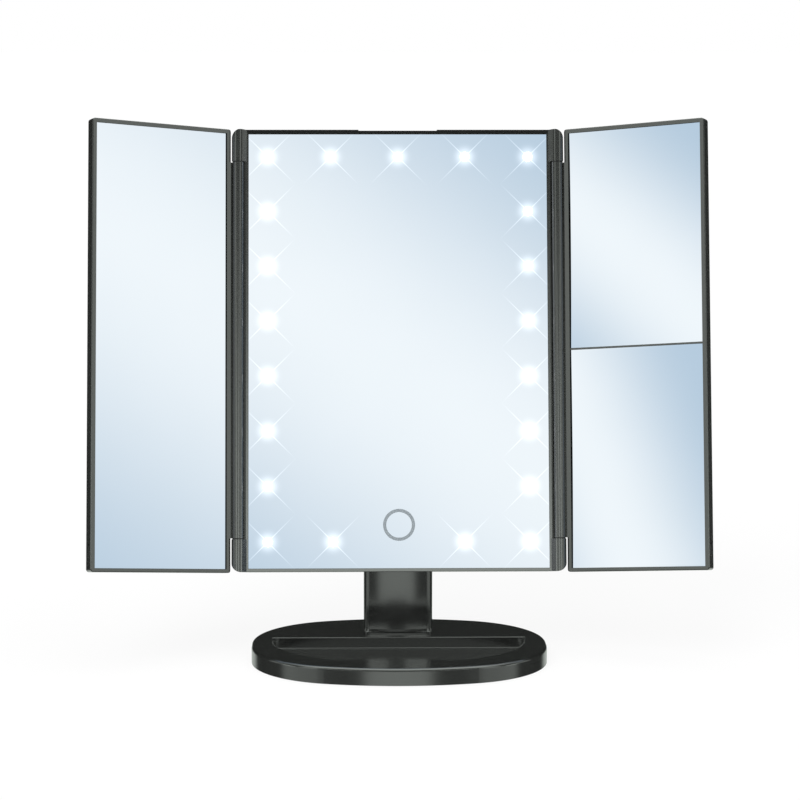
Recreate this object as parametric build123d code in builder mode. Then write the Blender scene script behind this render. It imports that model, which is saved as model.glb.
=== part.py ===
from build123d import *
from math import asin, atan2, cos, degrees, hypot, radians, sin, sqrt
import os

os.makedirs("parts", exist_ok=True)

# A folding dressing-table mirror with a lit centre panel, two side wings and an
# oval tray foot. Millimetres, +Z up, +X to the right of someone who faces it, the
# viewer on the -Y side. The origin is on the table, under the middle of the foot.

# ---------------------------------------------------------------- driving sizes

# stance
panel_tilt = 12.75          # lean of the centre panel, back from upright, degrees
wing_fold = 27.0            # swing of each wing towards the viewer from flat, degrees
glass_foot = 48.35          # table to the lower edge of the panel, at the glass face

# centre panel, measured in its own plane: u across, v up, n out of the glass
panel_height = 240.05
panel_width = 165.2         # between the two hinge columns
corner_round = 5.0          # outer corners of the hinge knuckles
lip_height = 1.0            # frame in front of the glass
lip_foot = 0.05             # foot of the lip's bevel in front of the glass
lip_land = 0.25             # flat left on top of the lip
side_lip = 1.45             # frame beside the glass
top_lip = 2.25              # frame above the glass
bottom_lip = 1.7           # frame below the glass
frame_back = 6.5            # glass face to the back of the front frame
frame_floor = 1.5           # plate that carries the light strips
ledge_width = 3.2           # ledge that the glass is taped to
crown_recess_width = 42.6   # shallow thumb recess in the top edge
crown_recess_depth = 0.5
lead_hole_v = 36.0
lead_hole_width = 14.0
lead_hole_height = 5.0

# mirror glass
glass_thickness = 2.0
glass_gap = 0.15            # clearance round each glass
tape_thickness = 0.3
tape_width = 2.4
tape_inset = 0.3

# rear cover of the centre panel
cover_edge = 3.5            # depth of the cover at its rim
cover_wall = 2.0
cover_corner = 2.0
hump_side = 16.6            # edge of the panel to the raised middle, at the sides
hump_bottom = 7.0
hump_head = 11.0            # and at the top
hump_taper = 20.0           # degrees
hump_corner = 14.0

# wing hinges
hinge_offset = 4.15         # hinge axis outside the panel's edge
hinge_n = 0.8               # hinge axis in front of the glass face
knuckle_radius = 3.35
knuckle_length = 17.5
fairing_setback = 0.15      # root of the knuckle's fairing outside the glass pocket
fairing_inset = 0.4
fairing_rise = 1.0
barrel_radius = 3.2
barrel_gap = 0.6            # end gap between knuckle and barrel
pin_radius = 1.25
pin_in_knuckle = 12.0
bush_radius = 2.3
bush_length = 8.0
bush_flange_radius = 2.9
shield_setback = 3.8        # strip that closes the gap beside the barrel, behind the axis
shield_thickness = 1.4
shield_short = 0.6          # its edge short of the hinge axis
pin_room = 2.0              # bore beyond the end of the pin
running_fit = 0.05          # radial clearance of a shaft that turns
press_fit = 0.02            # radial clearance of a pin that is fixed

# wings, measured from the hinge axis: s outwards, v up, m out of the glass
wing_inner = 3.55
wing_meeting = 2.45         # from the middle of the panel to a wing when it is shut
wing_drop = 0.45            # wing below the lower edge of the panel
wing_front = -0.8           # face of the wing frame, from the hinge axis
wing_depth = 6.2
wing_wall = 1.8
wing_lip = 0.4              # wing frame in front of its glass
wing_inner_lip = 2.65       # wing frame round its glass
wing_outer_lip = 2.4
wing_bottom_lip = 1.95
wing_top_lip = 2.25
wing_tape = 0.5
wing_floor = 1.0
wing_cover_thickness = 1.5
wing_cover_rim = 3.6        # standing edge of the wing's rear cover
wing_corner = 1.6
wing_edge_round = 0.5
wing_relief_width = 1.05    # bevel that clears the knuckles when the wing is shut
wing_relief_depth = 0.9
wing_tape_width = 6.0
web_thickness = 2.6
divider_width = 0.8         # bar between the two magnifying mirrors, at mid height
strong_curve = 1900.0       # radius of the upper magnifying mirror
mild_curve = 2600.0         # radius of the lower magnifying mirror
curve_depth = 1.1
groove_length = 7.4         # fingernail groove in the outer edge of each wing
groove_width = 2.4
groove_depth = 0.5
groove_height = 10.5
groove_setback = 2.8        # behind the front of the wing frame

# lights and touch control
light_side = 10.3           # lamps from the side edges of the glass
light_foot = 14.2           # lowest lamps from the lower glass edge
light_head = 12.3           # highest lamps from the upper glass edge
light_rows = 8
top_light_pitch = 36.5
bottom_light_u = 35.5
window_radius = 2.5
window_thickness = 0.3
strip_width = 8.0
strip_thickness = 1.0
strip_end = 6.0
strip_gap = 0.5             # between the ends of two strips
chip_width = 3.5
chip_height = 1.3
ring_height = 25.15
ring_outer_radius = 8.6
ring_inner_radius = 6.9
touch_pad_radius = 12.0
touch_pad_thickness = 0.25

# cells, their box and door
cell_radius = 7.2
cell_length = 50.2
nub_radius = 2.6
nub_length = 1.0
cell_count = 4
cell_pitch = 14.7
bay_height = 121.0          # middle of the battery bay, up the panel
bay_wall = 1.5
bay_floor = 0.8
bay_side_room = 0.5         # beside the outer cells
bay_headroom = 1.0          # between the box and the glass
bay_rim = 0.1               # wall of the box beyond the cells
bay_clearance = 0.3
bay_flange = 2.5
contact_room = 2.4          # room for a contact at each end of a cell
contact_thickness = 0.4
contact_size = 9.0
contact_spring_radius = 2.8
contact_clearance = 0.05
door_margin = 1.6           # door beyond the battery box, sides and top
door_hinge_margin = 5.0     # door beyond the battery box at the tabs
door_thickness = 1.6
door_gap = 0.3
door_tab_width = 8.0
door_tab_length = 2.4
door_tab_root = 1.3
door_tab_thickness = 1.2
latch_width = 12.0          # thumb notch at the upper edge
latch_depth = 0.7
grip_from_top = 12.0
grip_pitch = 2.4
grip_count = 4
grip_length = 18.0
grip_width = 1.0
grip_depth = 0.5

# boards, socket and switch
board_thickness = 1.6
board_width = 52.0
board_height = 30.0
board_bottom = 48.0         # lower edge of the control board, up the panel
board_boss = 1.5
board_edge = 4.0            # board corner to its screw boss
chip_case = 9.0             # controller in its flat case
chip_case_depth = 1.4
capacitor_radius = 3.5
capacitor_height = 4.0
plug_width = 10.0           # lead connector
plug_height = 5.0
power_side = 20.0           # socket and switch from the edge of the raised middle
socket_height = 28.0
switch_height = 46.0
socket_width = 7.6
socket_depth = 2.9
socket_length = 5.6
socket_wall = 0.4
socket_corner = 0.6
socket_back = 1.0
opening_gap = 0.35          # round the socket and the knob
switch_width = 6.4
switch_length = 12.0
switch_body_depth = 4.2
switch_channel = 2.6
knob_width = 2.6
knob_length = 4.0
knob_proud = 1.4
switch_travel = 4.0
knob_play = 0.3
switch_gap = 0.2            # between the switch body and the cover
knob_grooves = 3
knob_groove = 0.4
knob_groove_pitch = 1.2
power_board_width = 14.0
power_board_height = 42.0
power_boss_radius = 2.2

# tilt hinge at the head of the neck
tilt_v = 19.08              # tilt axis up the panel
head_radius = 8.0
head_gap = 0.5              # between the head of the neck and the bracket plate
ear_thickness = 2.5
ear_inner = 8.5             # inner face of each bracket ear from the middle
washer_thickness = 1.15
washer_gap = 0.05
washer_inset = 0.3
core_thickness = 1.5
tilt_shaft_radius = 2.5
shaft_head_radius = 4.2
shaft_head_length = 2.0
nut_width = 8.0
shaft_nut_length = 2.5
nut_gap = 0.8               # between the nut and the neck's side wall
bracket_plate = 2.5
bracket_width = 34.0
bracket_bottom = 2.0        # lower edge of the wide plate, above the tilt axis
bracket_top = 26.0          # upper edge of the plate, above the tilt axis
bracket_boss = 4.0
bracket_corner = 3.0
bracket_screw_u = 12.5
bracket_screw_heights = (13.5, 22.0)

# neck
neck_corner = 4.2
neck_crown = 2.1            # bulge of the front face
neck_shoulder = 16.0        # below the tilt axis, where the front starts to lean back
neck_wall = 1.8
neck_top_round = 4.0
neck_flare = 1.7            # spread of the neck where it meets the deck
slot_gap = 0.6              # between a bracket ear and the side of the slot
slot_drop = 11.0            # slot below the tilt axis, in front
slot_step = 2.6             # slot in the rear cover, above the axis
neck_boss_radius = 3.0
neck_screw_u = 7.0
neck_cover_screw_heights = (20.0, 40.0)
neck_screw_reach = 5.0      # depth of a cover screw in its boss
neck_screw_sink = 1.6       # depth of its head under the rear cover's face
core_clearance = 0.7        # between the fork and the neck covers

# foot
foot_width = 158.9
foot_depth = 121.0
foot_end_inset = 7.3        # end radius short of half the depth
foot_end_flat = 3.75        # half the straight length of each end
foot_top = 9.3
foot_bottom = 0.3           # the rubber feet lift the shell by this much
foot_wall = 2.2
foot_edge_round = 1.6
deck_thickness = 2.0
tray_back = 13.0            # straight rear wall of the tray
tray_front_rim = 12.6       # front edge of the foot to the tray
tray_side_rim = 10.65
tray_front_sweep = 9.7      # radius of the front arc beyond half the tray's width
tray_corner = 45.0
tray_depth = 6.15
tray_floor = 1.4
tray_round = 4.2            # where the side wall runs into the floor
tray_back_round = 0.7
tray_edge_round = 0.5
base_plate_thickness = 1.2
base_clearance = 0.15
base_screw_length = 4.5     # thread length above the base plate
ballast_thickness = 4.6
ballast_front = 17.5
ballast_rear = 10.5         # rear edge of the foot to the ballast
ballast_side = 23.0
ballast_gap = 3.0           # round the heads of the neck screws
rubber_foot_radius = 5.0
rubber_foot_thickness = 1.0
rubber_foot_side = 32.0     # middle of a rubber foot from the side edge of the foot
rubber_foot_end = 27.5      # and from the front or rear edge
base_screw_side = 17.45
base_screw_y = 26.0
base_screw_back = 7.0       # rear screw from the rear edge of the foot
base_screw_front = 6.3      # front screw from the front edge

# screws
screw_radius = 1.25
screw_head_radius = 2.4
screw_head_height = 1.2
screw_head_gap = 0.2
screw_tip_gap = 0.5
driver_width = 2.6          # cross recess for the driver
driver_slot = 0.6
driver_depth = 0.6
screw_boss_radius = 3.0
cover_screw_side = 8.6      # cover screws from the side edge of the panel
cover_screw_end = 30.0      # end screws from the top and bottom edges
neck_screw_radius = 2.0
neck_screw_head_radius = 3.6
neck_screw_head_height = 1.3

# ---------------------------------------------------------------- derived sizes

glass_bottom = bottom_lip + glass_gap
glass_top = panel_height - top_lip - glass_gap
center_glass_width = panel_width - 2 * (side_lip + glass_gap)
center_glass_height = glass_top - glass_bottom
seat_n = -(glass_thickness + tape_thickness)
floor_n = -(frame_back - frame_floor)
cover_n = -(frame_back + cover_edge)

bay_width = cell_count * cell_pitch + 2 * bay_wall + 2 * bay_side_room
bay_length = cell_length + 2 * contact_room + 2 * bay_wall
bay_top_n = seat_n - bay_headroom
bay_rim_n = bay_top_n - bay_floor - 2 * cell_radius - bay_rim
door_width = bay_width + 2 * door_margin
door_bottom = bay_height - bay_length / 2 - door_hinge_margin
door_top = bay_height + bay_length / 2 + door_margin
door_inside_n = bay_rim_n - door_gap

hump_width = panel_width - 2 * hump_side
hump_top = panel_height - hump_head
hump_n = door_inside_n - door_thickness
hump_depth = cover_n - hump_n
hump_inside_n = hump_n + cover_wall

hinge_u = panel_width / 2 + hinge_offset
wing_outer = hinge_u - wing_meeting
wing_bottom = -wing_drop
wing_height = panel_height - wing_bottom
wing_glass_inner = wing_inner + wing_inner_lip + glass_gap
wing_glass_outer = wing_outer - wing_outer_lip - glass_gap
wing_glass_bottom = wing_bottom + wing_bottom_lip + glass_gap
wing_glass_top = wing_bottom + wing_height - wing_top_lip - glass_gap
wing_glass_height = wing_glass_top - wing_glass_bottom
divider_height = wing_bottom + wing_height / 2

light_u = center_glass_width / 2 - light_side
light_bottom = glass_bottom + light_foot
light_top = glass_top - light_head
light_pitch = (light_top - light_bottom) / (light_rows - 1)

power_u = hump_width / 2 - power_side
cover_screw_u = panel_width / 2 - cover_screw_side
cover_screw_pitch = panel_height / 2 - cover_screw_end

ear_radius = head_radius - neck_wall - core_clearance
ear_outer = ear_inner + ear_thickness
washer_inner = ear_outer + washer_gap
core_ear_inner = washer_inner + washer_thickness
core_ear_outer = core_ear_inner + core_thickness
neck_depth = 2 * head_radius
neck_width = 2 * (core_ear_outer + shaft_nut_length + nut_gap + neck_wall)
slot_half_width = ear_outer + slot_gap
plate_n = hump_n - bracket_plate
tilt_n = plate_n - head_gap - head_radius

half_depth = foot_depth / 2
foot_end_radius = half_depth - foot_end_inset
tray_width = foot_width - 2 * tray_side_rim
tray_front = tray_front_rim - half_depth
tray_front_radius = tray_width / 2 + tray_front_sweep
ballast_back = half_depth - ballast_rear
ballast_half_width = foot_width / 2 - ballast_side
rubber_foot_x = foot_width / 2 - rubber_foot_side
rubber_foot_y = half_depth - rubber_foot_end
base_screw_x = foot_width / 2 - base_screw_side

# ------------------------------------------------------------- frames of measure

tilt = radians(panel_tilt)
fold = radians(wing_fold)
up = Vector(0, sin(tilt), cos(tilt))
out = Vector(0, -cos(tilt), sin(tilt))
panel = Plane(origin=(0, 0, glass_foot), x_dir=(1, 0, 0), z_dir=out)


def across(v):
    """Plane across the panel at height v: local x is u, local y is n, down is +."""
    return Plane(origin=panel.origin + up * v, x_dir=(1, 0, 0), z_dir=-up)


def wing_plane(side):
    """Plane through a hinge axis, parallel to that wing's glass."""
    axis_point = panel.from_local_coords((side * hinge_u, 0, hinge_n))
    x_dir = Vector(cos(fold), 0, 0) + out * (side * sin(fold))
    z_dir = Vector(-side * sin(fold), 0, 0) + out * cos(fold)
    return Plane(origin=axis_point, x_dir=x_dir, z_dir=z_dir)


def wing_across(side, v):
    """Plane across a wing at height v: local x is side * s, local y is m."""
    wing = wing_plane(side)
    return Plane(origin=wing.origin + up * v, x_dir=wing.x_dir, z_dir=-up)


def side_plane(x):
    """Upright plane at x: local x is world Y, local y is world Z, towards +X."""
    return Plane(origin=(x, 0, 0), x_dir=(0, 1, 0), z_dir=(1, 0, 0))


def save(piece, name):
    piece.label = name
    export_step(piece, f"parts/{name}.step")


tilt_axis = panel.from_local_coords((0, tilt_v, tilt_n))
tilt_axis_y = tilt_axis.Y
tilt_axis_z = tilt_axis.Z

light_spots = [
    (side * light_u, light_bottom + row * light_pitch)
    for side in (-1, 1)
    for row in range(light_rows)
]
light_spots += [(k * top_light_pitch, light_top) for k in (-1, 0, 1)]
light_spots += [(side * bottom_light_u, light_bottom) for side in (-1, 1)]

power_board_n = hump_inside_n + switch_body_depth
power_board_v = (socket_height + switch_height) / 2
power_boss_reach = power_board_height / 2 - power_boss_radius
power_boss_spots = [(power_u, power_board_v + k * power_boss_reach) for k in (-1, 1)]
cover_screw_spots = [
    (su * cover_screw_u, panel_height / 2 + k * cover_screw_pitch)
    for su in (-1, 1)
    for k in (-1, 0, 1)
]
bracket_screw_spots = [
    (su * bracket_screw_u, tilt_v + dv) for su in (-1, 1) for dv in bracket_screw_heights
]
board_v = board_bottom + board_height / 2
board_corners = [
    (su * (board_width / 2 - board_edge), board_v + sv * (board_height / 2 - board_edge))
    for su in (-1, 1)
    for sv in (-1, 1)
]

# ---------------------------------------------------------------- centre panel

with BuildPart() as front_frame:
    with BuildSketch(panel.offset(lip_height)):
        with Locations((0, panel_height / 2)):
            Rectangle(panel_width, panel_height)
    extrude(amount=-(lip_height + frame_back))
    # pocket for the glass, with its bevelled lip
    with BuildSketch(panel.offset(lip_height)):
        with Locations((0, glass_bottom + center_glass_height / 2)):
            Rectangle(center_glass_width + 2 * glass_gap, center_glass_height + 2 * glass_gap)
    extrude(amount=-(lip_height - seat_n), mode=Mode.SUBTRACT)
    with BuildSketch(panel.offset(lip_foot)):
        with Locations((0, glass_bottom + center_glass_height / 2)):
            Rectangle(center_glass_width + 2 * glass_gap, center_glass_height + 2 * glass_gap)
    with BuildSketch(panel.offset(lip_height)):
        with Locations((0, panel_height / 2)):
            Rectangle(panel_width - 2 * lip_land, panel_height - 2 * lip_land)
    loft(ruled=True, mode=Mode.SUBTRACT)
    # light chamber behind the glass
    with BuildSketch(panel.offset(seat_n)):
        with Locations((0, glass_bottom + center_glass_height / 2)):
            Rectangle(center_glass_width - 2 * ledge_width, center_glass_height - 2 * ledge_width)
    extrude(amount=-(seat_n - floor_n), mode=Mode.SUBTRACT)
    # opening that the battery box reaches through, and one for the leads
    with BuildSketch(panel.offset(floor_n)):
        with Locations((0, bay_height)):
            Rectangle(bay_width + 2 * bay_clearance, bay_length + 2 * bay_clearance)
        with Locations((0, lead_hole_v)):
            SlotOverall(lead_hole_width, lead_hole_height)
    extrude(amount=-frame_floor, mode=Mode.SUBTRACT)
    # bosses for the control board
    with BuildSketch(panel.offset(-frame_back)):
        with Locations(*board_corners):
            Circle(screw_boss_radius)
    extrude(amount=-board_boss)
    # hinge knuckles at both ends of both sides, faired into the bevelled lip
    root_u = center_glass_width / 2 + glass_gap + fairing_setback
    reach = hypot(hinge_u - root_u, hinge_n)
    tangent = atan2(hinge_n, hinge_u - root_u) + asin(knuckle_radius / reach)
    run = sqrt(reach**2 - knuckle_radius**2)
    crest = (root_u + run * cos(tangent), run * sin(tangent))
    for side in (-1, 1):
        for top in (knuckle_length, panel_height):
            with BuildSketch(across(top)):
                with Locations((side * hinge_u, hinge_n)):
                    Circle(knuckle_radius)
                with BuildLine():
                    Polyline(
                        (side * root_u, 0),
                        (side * crest[0], crest[1]),
                        (side * hinge_u, hinge_n),
                        (side * hinge_u, hinge_n - knuckle_radius + fairing_inset),
                        (side * (panel_width / 2 - fairing_inset), -frame_back + fairing_rise),
                        (side * root_u, floor_n),
                        close=True,
                    )
                make_face()
            extrude(amount=knuckle_length)
        # holes for the hinge pins
        for v in (knuckle_length, panel_height - knuckle_length + pin_in_knuckle):
            with BuildSketch(across(v)):
                with Locations((side * hinge_u, hinge_n)):
                    Circle(pin_radius + press_fit)
            extrude(amount=pin_in_knuckle, mode=Mode.SUBTRACT)
        # strip behind the barrel, so that no light shows beside it
        with BuildSketch(across(panel_height - knuckle_length)):
            with BuildLine():
                Polyline(
                    (side * (panel_width / 2 - side_lip), hinge_n - shield_setback),
                    (side * (hinge_u - shield_short), hinge_n - shield_setback),
                    (side * (hinge_u - shield_short), hinge_n - shield_setback - shield_thickness),
                    (
                        side * (panel_width / 2 - side_lip),
                        hinge_n - shield_setback - shield_thickness,
                    ),
                    close=True,
                )
            make_face()
        extrude(amount=panel_height - 2 * knuckle_length)
    # rounded outline of the whole unit
    with BuildSketch(panel.offset(-4 * knuckle_radius)):
        with Locations((0, panel_height / 2)):
            RectangleRounded(2 * (hinge_u + knuckle_radius), panel_height, corner_round)
    extrude(amount=8 * knuckle_radius, mode=Mode.INTERSECT)
    # shallow recess in the top edge
    with BuildSketch(panel.offset(lip_height)):
        with Locations((0, panel_height)):
            Rectangle(crown_recess_width, 2 * crown_recess_depth)
    extrude(amount=-(lip_height + frame_back), mode=Mode.SUBTRACT)
    # holes for the cover screws
    with BuildSketch(panel.offset(-frame_back)):
        with Locations(*cover_screw_spots):
            Circle(screw_radius + press_fit)
    extrude(amount=frame_floor, mode=Mode.SUBTRACT)
save(front_frame.part, "front_frame")

with BuildPart() as rear_cover:
    with BuildSketch(panel.offset(-frame_back)):
        with Locations((0, panel_height / 2)):
            RectangleRounded(panel_width, panel_height, cover_corner)
    extrude(amount=-cover_edge)
    hump_v = (hump_bottom + hump_top) / 2
    hump_height = hump_top - hump_bottom
    with BuildSketch(panel.offset(cover_n)):
        with Locations((0, hump_v)):
            RectangleRounded(hump_width, hump_height, hump_corner)
    extrude(amount=-hump_depth, taper=hump_taper)
    # hollow behind the rim and inside the hump
    with BuildSketch(panel.offset(-frame_back)):
        with Locations((0, panel_height / 2)):
            Rectangle(panel_width - 2 * cover_wall, panel_height - 2 * cover_wall)
    extrude(amount=-(cover_edge - cover_wall), mode=Mode.SUBTRACT)
    with BuildSketch(panel.offset(-frame_back - cover_edge + cover_wall)):
        with Locations((0, hump_v)):
            RectangleRounded(
                hump_width - 2 * cover_wall, hump_height - 2 * cover_wall, hump_corner - cover_wall
            )
    extrude(amount=-hump_depth, taper=hump_taper, mode=Mode.SUBTRACT)
    # bosses for the cover screws, the power board and the tilt bracket
    with BuildSketch(panel.offset(-frame_back)):
        with Locations(*cover_screw_spots):
            Circle(screw_boss_radius)
    extrude(amount=-cover_edge)
    with BuildSketch(panel.offset(power_board_n)):
        with Locations(*power_boss_spots):
            Circle(power_boss_radius)
    extrude(amount=-(power_board_n - hump_inside_n))
    with BuildSketch(panel.offset(hump_inside_n)):
        with Locations(*bracket_screw_spots):
            Circle(screw_boss_radius)
    extrude(amount=bracket_boss)
    # battery door opening
    with BuildSketch(panel.offset(hump_inside_n)):
        with Locations((0, (door_bottom + door_top) / 2)):
            Rectangle(door_width + 2 * door_gap, door_top - door_bottom + 2 * door_gap)
    extrude(amount=-cover_wall, mode=Mode.SUBTRACT)
    # socket and switch openings
    with BuildSketch(panel.offset(hump_inside_n)):
        with Locations((power_u, socket_height)):
            RectangleRounded(
                socket_width + 2 * opening_gap, socket_depth + 2 * opening_gap,
                socket_corner + opening_gap,
            )
        with Locations((power_u, switch_height)):
            Rectangle(knob_width + 2 * opening_gap, knob_length + switch_travel + 2 * opening_gap)
    extrude(amount=-cover_wall, mode=Mode.SUBTRACT)
    # screw holes
    with BuildSketch(panel.offset(-frame_back)):
        with Locations(*cover_screw_spots):
            Circle(screw_radius + press_fit)
    extrude(amount=-cover_edge, mode=Mode.SUBTRACT)
    with BuildSketch(panel.offset(cover_n)):
        with Locations(*cover_screw_spots):
            Circle(screw_head_radius + screw_head_gap)
    extrude(amount=screw_head_height, mode=Mode.SUBTRACT)
    with BuildSketch(panel.offset(hump_n)):
        with Locations(*bracket_screw_spots):
            Circle(screw_radius + press_fit)
    extrude(amount=cover_wall + bracket_boss, mode=Mode.SUBTRACT)
save(rear_cover.part, "rear_cover")

with BuildPart() as center_mirror:
    with BuildSketch(panel):
        with Locations((0, glass_bottom + center_glass_height / 2)):
            Rectangle(center_glass_width, center_glass_height)
    extrude(amount=-glass_thickness)
    with BuildSketch(panel):
        with Locations(*light_spots):
            Circle(window_radius + press_fit)
        with Locations((0, ring_height)):
            Circle(ring_outer_radius + press_fit)
            Circle(ring_inner_radius - press_fit, mode=Mode.SUBTRACT)
    extrude(amount=-window_thickness, mode=Mode.SUBTRACT)
save(center_mirror.part, "center_mirror")

with BuildPart() as light_windows:
    with BuildSketch(panel):
        with Locations(*light_spots):
            Circle(window_radius)
    extrude(amount=-window_thickness)
save(light_windows.part, "light_windows")

with BuildPart() as touch_ring:
    with BuildSketch(panel):
        with Locations((0, ring_height)):
            Circle(ring_outer_radius)
            Circle(ring_inner_radius, mode=Mode.SUBTRACT)
    extrude(amount=-window_thickness)
save(touch_ring.part, "touch_ring")

with BuildPart() as touch_pad:
    with BuildSketch(panel.offset(-glass_thickness)):
        with Locations((0, ring_height)):
            Circle(touch_pad_radius)
    extrude(amount=-touch_pad_thickness)
save(touch_pad.part, "touch_pad")

with BuildPart() as center_mirror_tape:
    with BuildSketch(panel.offset(-glass_thickness)):
        with Locations((0, glass_bottom + center_glass_height / 2)):
            Rectangle(center_glass_width - 2 * tape_inset, center_glass_height - 2 * tape_inset)
            Rectangle(
                center_glass_width - 2 * tape_inset - 2 * tape_width,
                center_glass_height - 2 * tape_inset - 2 * tape_width,
                mode=Mode.SUBTRACT,
            )
    extrude(amount=-tape_thickness)
save(center_mirror_tape.part, "center_mirror_tape")

# light strips on the floor of the front frame, and the lamps on them
strip_n = floor_n + strip_thickness
strip_length = light_top - light_bottom + 2 * strip_end
cross_length = 2 * light_u - strip_width - 2 * strip_gap
strips = {
    "light_strip_left": (-light_u, (light_bottom + light_top) / 2, strip_width, strip_length),
    "light_strip_right": (light_u, (light_bottom + light_top) / 2, strip_width, strip_length),
    "light_strip_top": (0, light_top, cross_length, strip_width),
    "light_strip_bottom": (0, light_bottom, cross_length, strip_width),
}
for name, (strip_u, strip_v, strip_w, strip_h) in strips.items():
    with BuildPart() as light_strip:
        with BuildSketch(panel.offset(strip_n)):
            with Locations((strip_u, strip_v)):
                Rectangle(strip_w, strip_h)
        extrude(amount=-strip_thickness)
    save(light_strip.part, name)

with BuildPart() as lamp_chips:
    with BuildSketch(panel.offset(strip_n)):
        with Locations(*light_spots):
            Rectangle(chip_width, chip_width)
    extrude(amount=chip_height)
save(lamp_chips.part, "lamp_chips")

# ------------------------------------------------------ power and touch control

with BuildPart() as battery_box:
    with BuildSketch(panel.offset(bay_top_n)):
        with Locations((0, bay_height)):
            Rectangle(bay_width, bay_length)
    extrude(amount=-(bay_top_n - bay_rim_n))
    with BuildSketch(panel.offset(-frame_back)):
        with Locations((0, bay_height)):
            Rectangle(bay_width + 2 * bay_flange, bay_length + 2 * bay_flange)
    extrude(amount=-bay_wall)
    with BuildSketch(panel.offset(bay_top_n - bay_floor)):
        with Locations((0, bay_height)):
            Rectangle(bay_width - 2 * bay_wall, bay_length - 2 * bay_wall)
    extrude(amount=-(bay_top_n - bay_floor - bay_rim_n), mode=Mode.SUBTRACT)
save(battery_box.part, "battery_box")

cell_n = bay_top_n - bay_floor - cell_radius
cell_spots = [((k - (cell_count - 1) / 2) * cell_pitch, cell_n) for k in range(cell_count)]
cell_top = bay_height + cell_length / 2
cell_bottom = bay_height - cell_length / 2

with BuildPart() as battery_cells:
    for k, spot in enumerate(cell_spots):
        nub_up = k % 2 == 0
        can_top = cell_top - (nub_length if nub_up else 0)
        can_bottom = cell_bottom + (0 if nub_up else nub_length)
        with BuildSketch(across(can_top)):
            with Locations(spot):
                Circle(cell_radius)
        extrude(amount=can_top - can_bottom)
        with BuildSketch(across(cell_top if nub_up else can_bottom)):
            with Locations(spot):
                Circle(nub_radius)
        extrude(amount=nub_length)
save(battery_cells.part, "battery_cells")

with BuildPart() as battery_contacts:
    for wall_v, inward in (
        (bay_height + bay_length / 2 - bay_wall, 1),
        (bay_height - bay_length / 2 + bay_wall, -1),
    ):
        with BuildSketch(across(wall_v)):
            with Locations(*cell_spots):
                Rectangle(contact_size, contact_size)
        extrude(amount=inward * contact_thickness)
        with BuildSketch(across(wall_v)):
            with Locations(*cell_spots):
                Circle(contact_spring_radius)
        extrude(amount=inward * (contact_room - contact_clearance))
save(battery_contacts.part, "battery_contacts")

# The door turns out about its lower edge, where two tabs hook under the cover.
with BuildPart() as battery_door:
    with BuildSketch(panel.offset(door_inside_n)):
        with Locations((0, (door_bottom + door_top) / 2)):
            Rectangle(door_width, door_top - door_bottom)
    extrude(amount=-door_thickness)
    # hooked tabs
    tab_n = hump_inside_n + door_gap
    for side in (-1, 1):
        with BuildSketch(panel.offset(door_inside_n)):
            with Locations((side * door_width / 4, door_bottom + door_tab_root / 2)):
                Rectangle(door_tab_width, door_tab_root)
        extrude(amount=tab_n - door_inside_n + door_tab_thickness)
        with BuildSketch(panel.offset(tab_n)):
            with Locations((side * door_width / 4, door_bottom + (door_tab_root - door_tab_length) / 2)):
                Rectangle(door_tab_width, door_tab_root + door_tab_length)
        extrude(amount=door_tab_thickness)
    # grip grooves and a thumb notch near the upper edge
    with BuildSketch(panel.offset(hump_n)):
        with Locations((0, door_top - grip_from_top)):
            with GridLocations(0, grip_pitch, 1, grip_count):
                SlotOverall(grip_length, grip_width)
    extrude(amount=grip_depth, mode=Mode.SUBTRACT)
    with BuildSketch(panel.offset(hump_n)):
        with Locations((0, door_top)):
            Circle(latch_width / 2)
    extrude(amount=latch_depth, mode=Mode.SUBTRACT)
save(battery_door.part, "battery_door")

with BuildPart() as control_board:
    board_n = -(frame_back + board_boss)
    with BuildSketch(panel.offset(board_n)):
        with Locations((0, board_v)):
            Rectangle(board_width, board_height)
    extrude(amount=-board_thickness)
    with BuildSketch(panel.offset(board_n - board_thickness)):
        with Locations((-board_width / 6, board_v + board_height / 8)):
            Rectangle(chip_case, chip_case)
        with Locations((board_width / 6, board_v + board_height / 5)):
            Rectangle(chip_case / 2, chip_case / 2)
    extrude(amount=-chip_case_depth)
    with BuildSketch(panel.offset(board_n - board_thickness)):
        with Locations((board_width / 4, board_v - board_height / 4)):
            Circle(capacitor_radius)
        with Locations((-board_width / 4, board_v - board_height / 3)):
            Rectangle(plug_width, plug_height)
    extrude(amount=-capacitor_height)
save(control_board.part, "control_board")

with BuildPart() as power_board:
    with BuildSketch(panel.offset(power_board_n)):
        with Locations((power_u, power_board_v)):
            Rectangle(power_board_width, power_board_height)
    extrude(amount=board_thickness)
save(power_board.part, "power_board")

with BuildPart() as charging_socket:
    with BuildSketch(panel.offset(power_board_n)):
        with Locations((power_u, socket_height)):
            RectangleRounded(socket_width, socket_depth, socket_corner)
    extrude(amount=-socket_length)
    with BuildSketch(panel.offset(power_board_n - socket_length)):
        with Locations((power_u, socket_height)):
            RectangleRounded(
                socket_width - 2 * socket_wall, socket_depth - 2 * socket_wall,
                socket_corner - socket_wall / 2,
            )
    extrude(amount=socket_length - socket_back, mode=Mode.SUBTRACT)
save(charging_socket.part, "charging_socket")

switch_rear_n = hump_inside_n + switch_gap
with BuildPart() as power_switch:
    with BuildSketch(panel.offset(power_board_n)):
        with Locations((power_u, switch_height)):
            Rectangle(switch_width, switch_length)
    extrude(amount=switch_rear_n - power_board_n)
    with BuildSketch(panel.offset(switch_rear_n)):
        with Locations((power_u, switch_height)):
            Rectangle(knob_width + 2 * knob_play, knob_length + switch_travel + 2 * knob_play)
    extrude(amount=switch_channel, mode=Mode.SUBTRACT)
save(power_switch.part, "power_switch")

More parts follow.
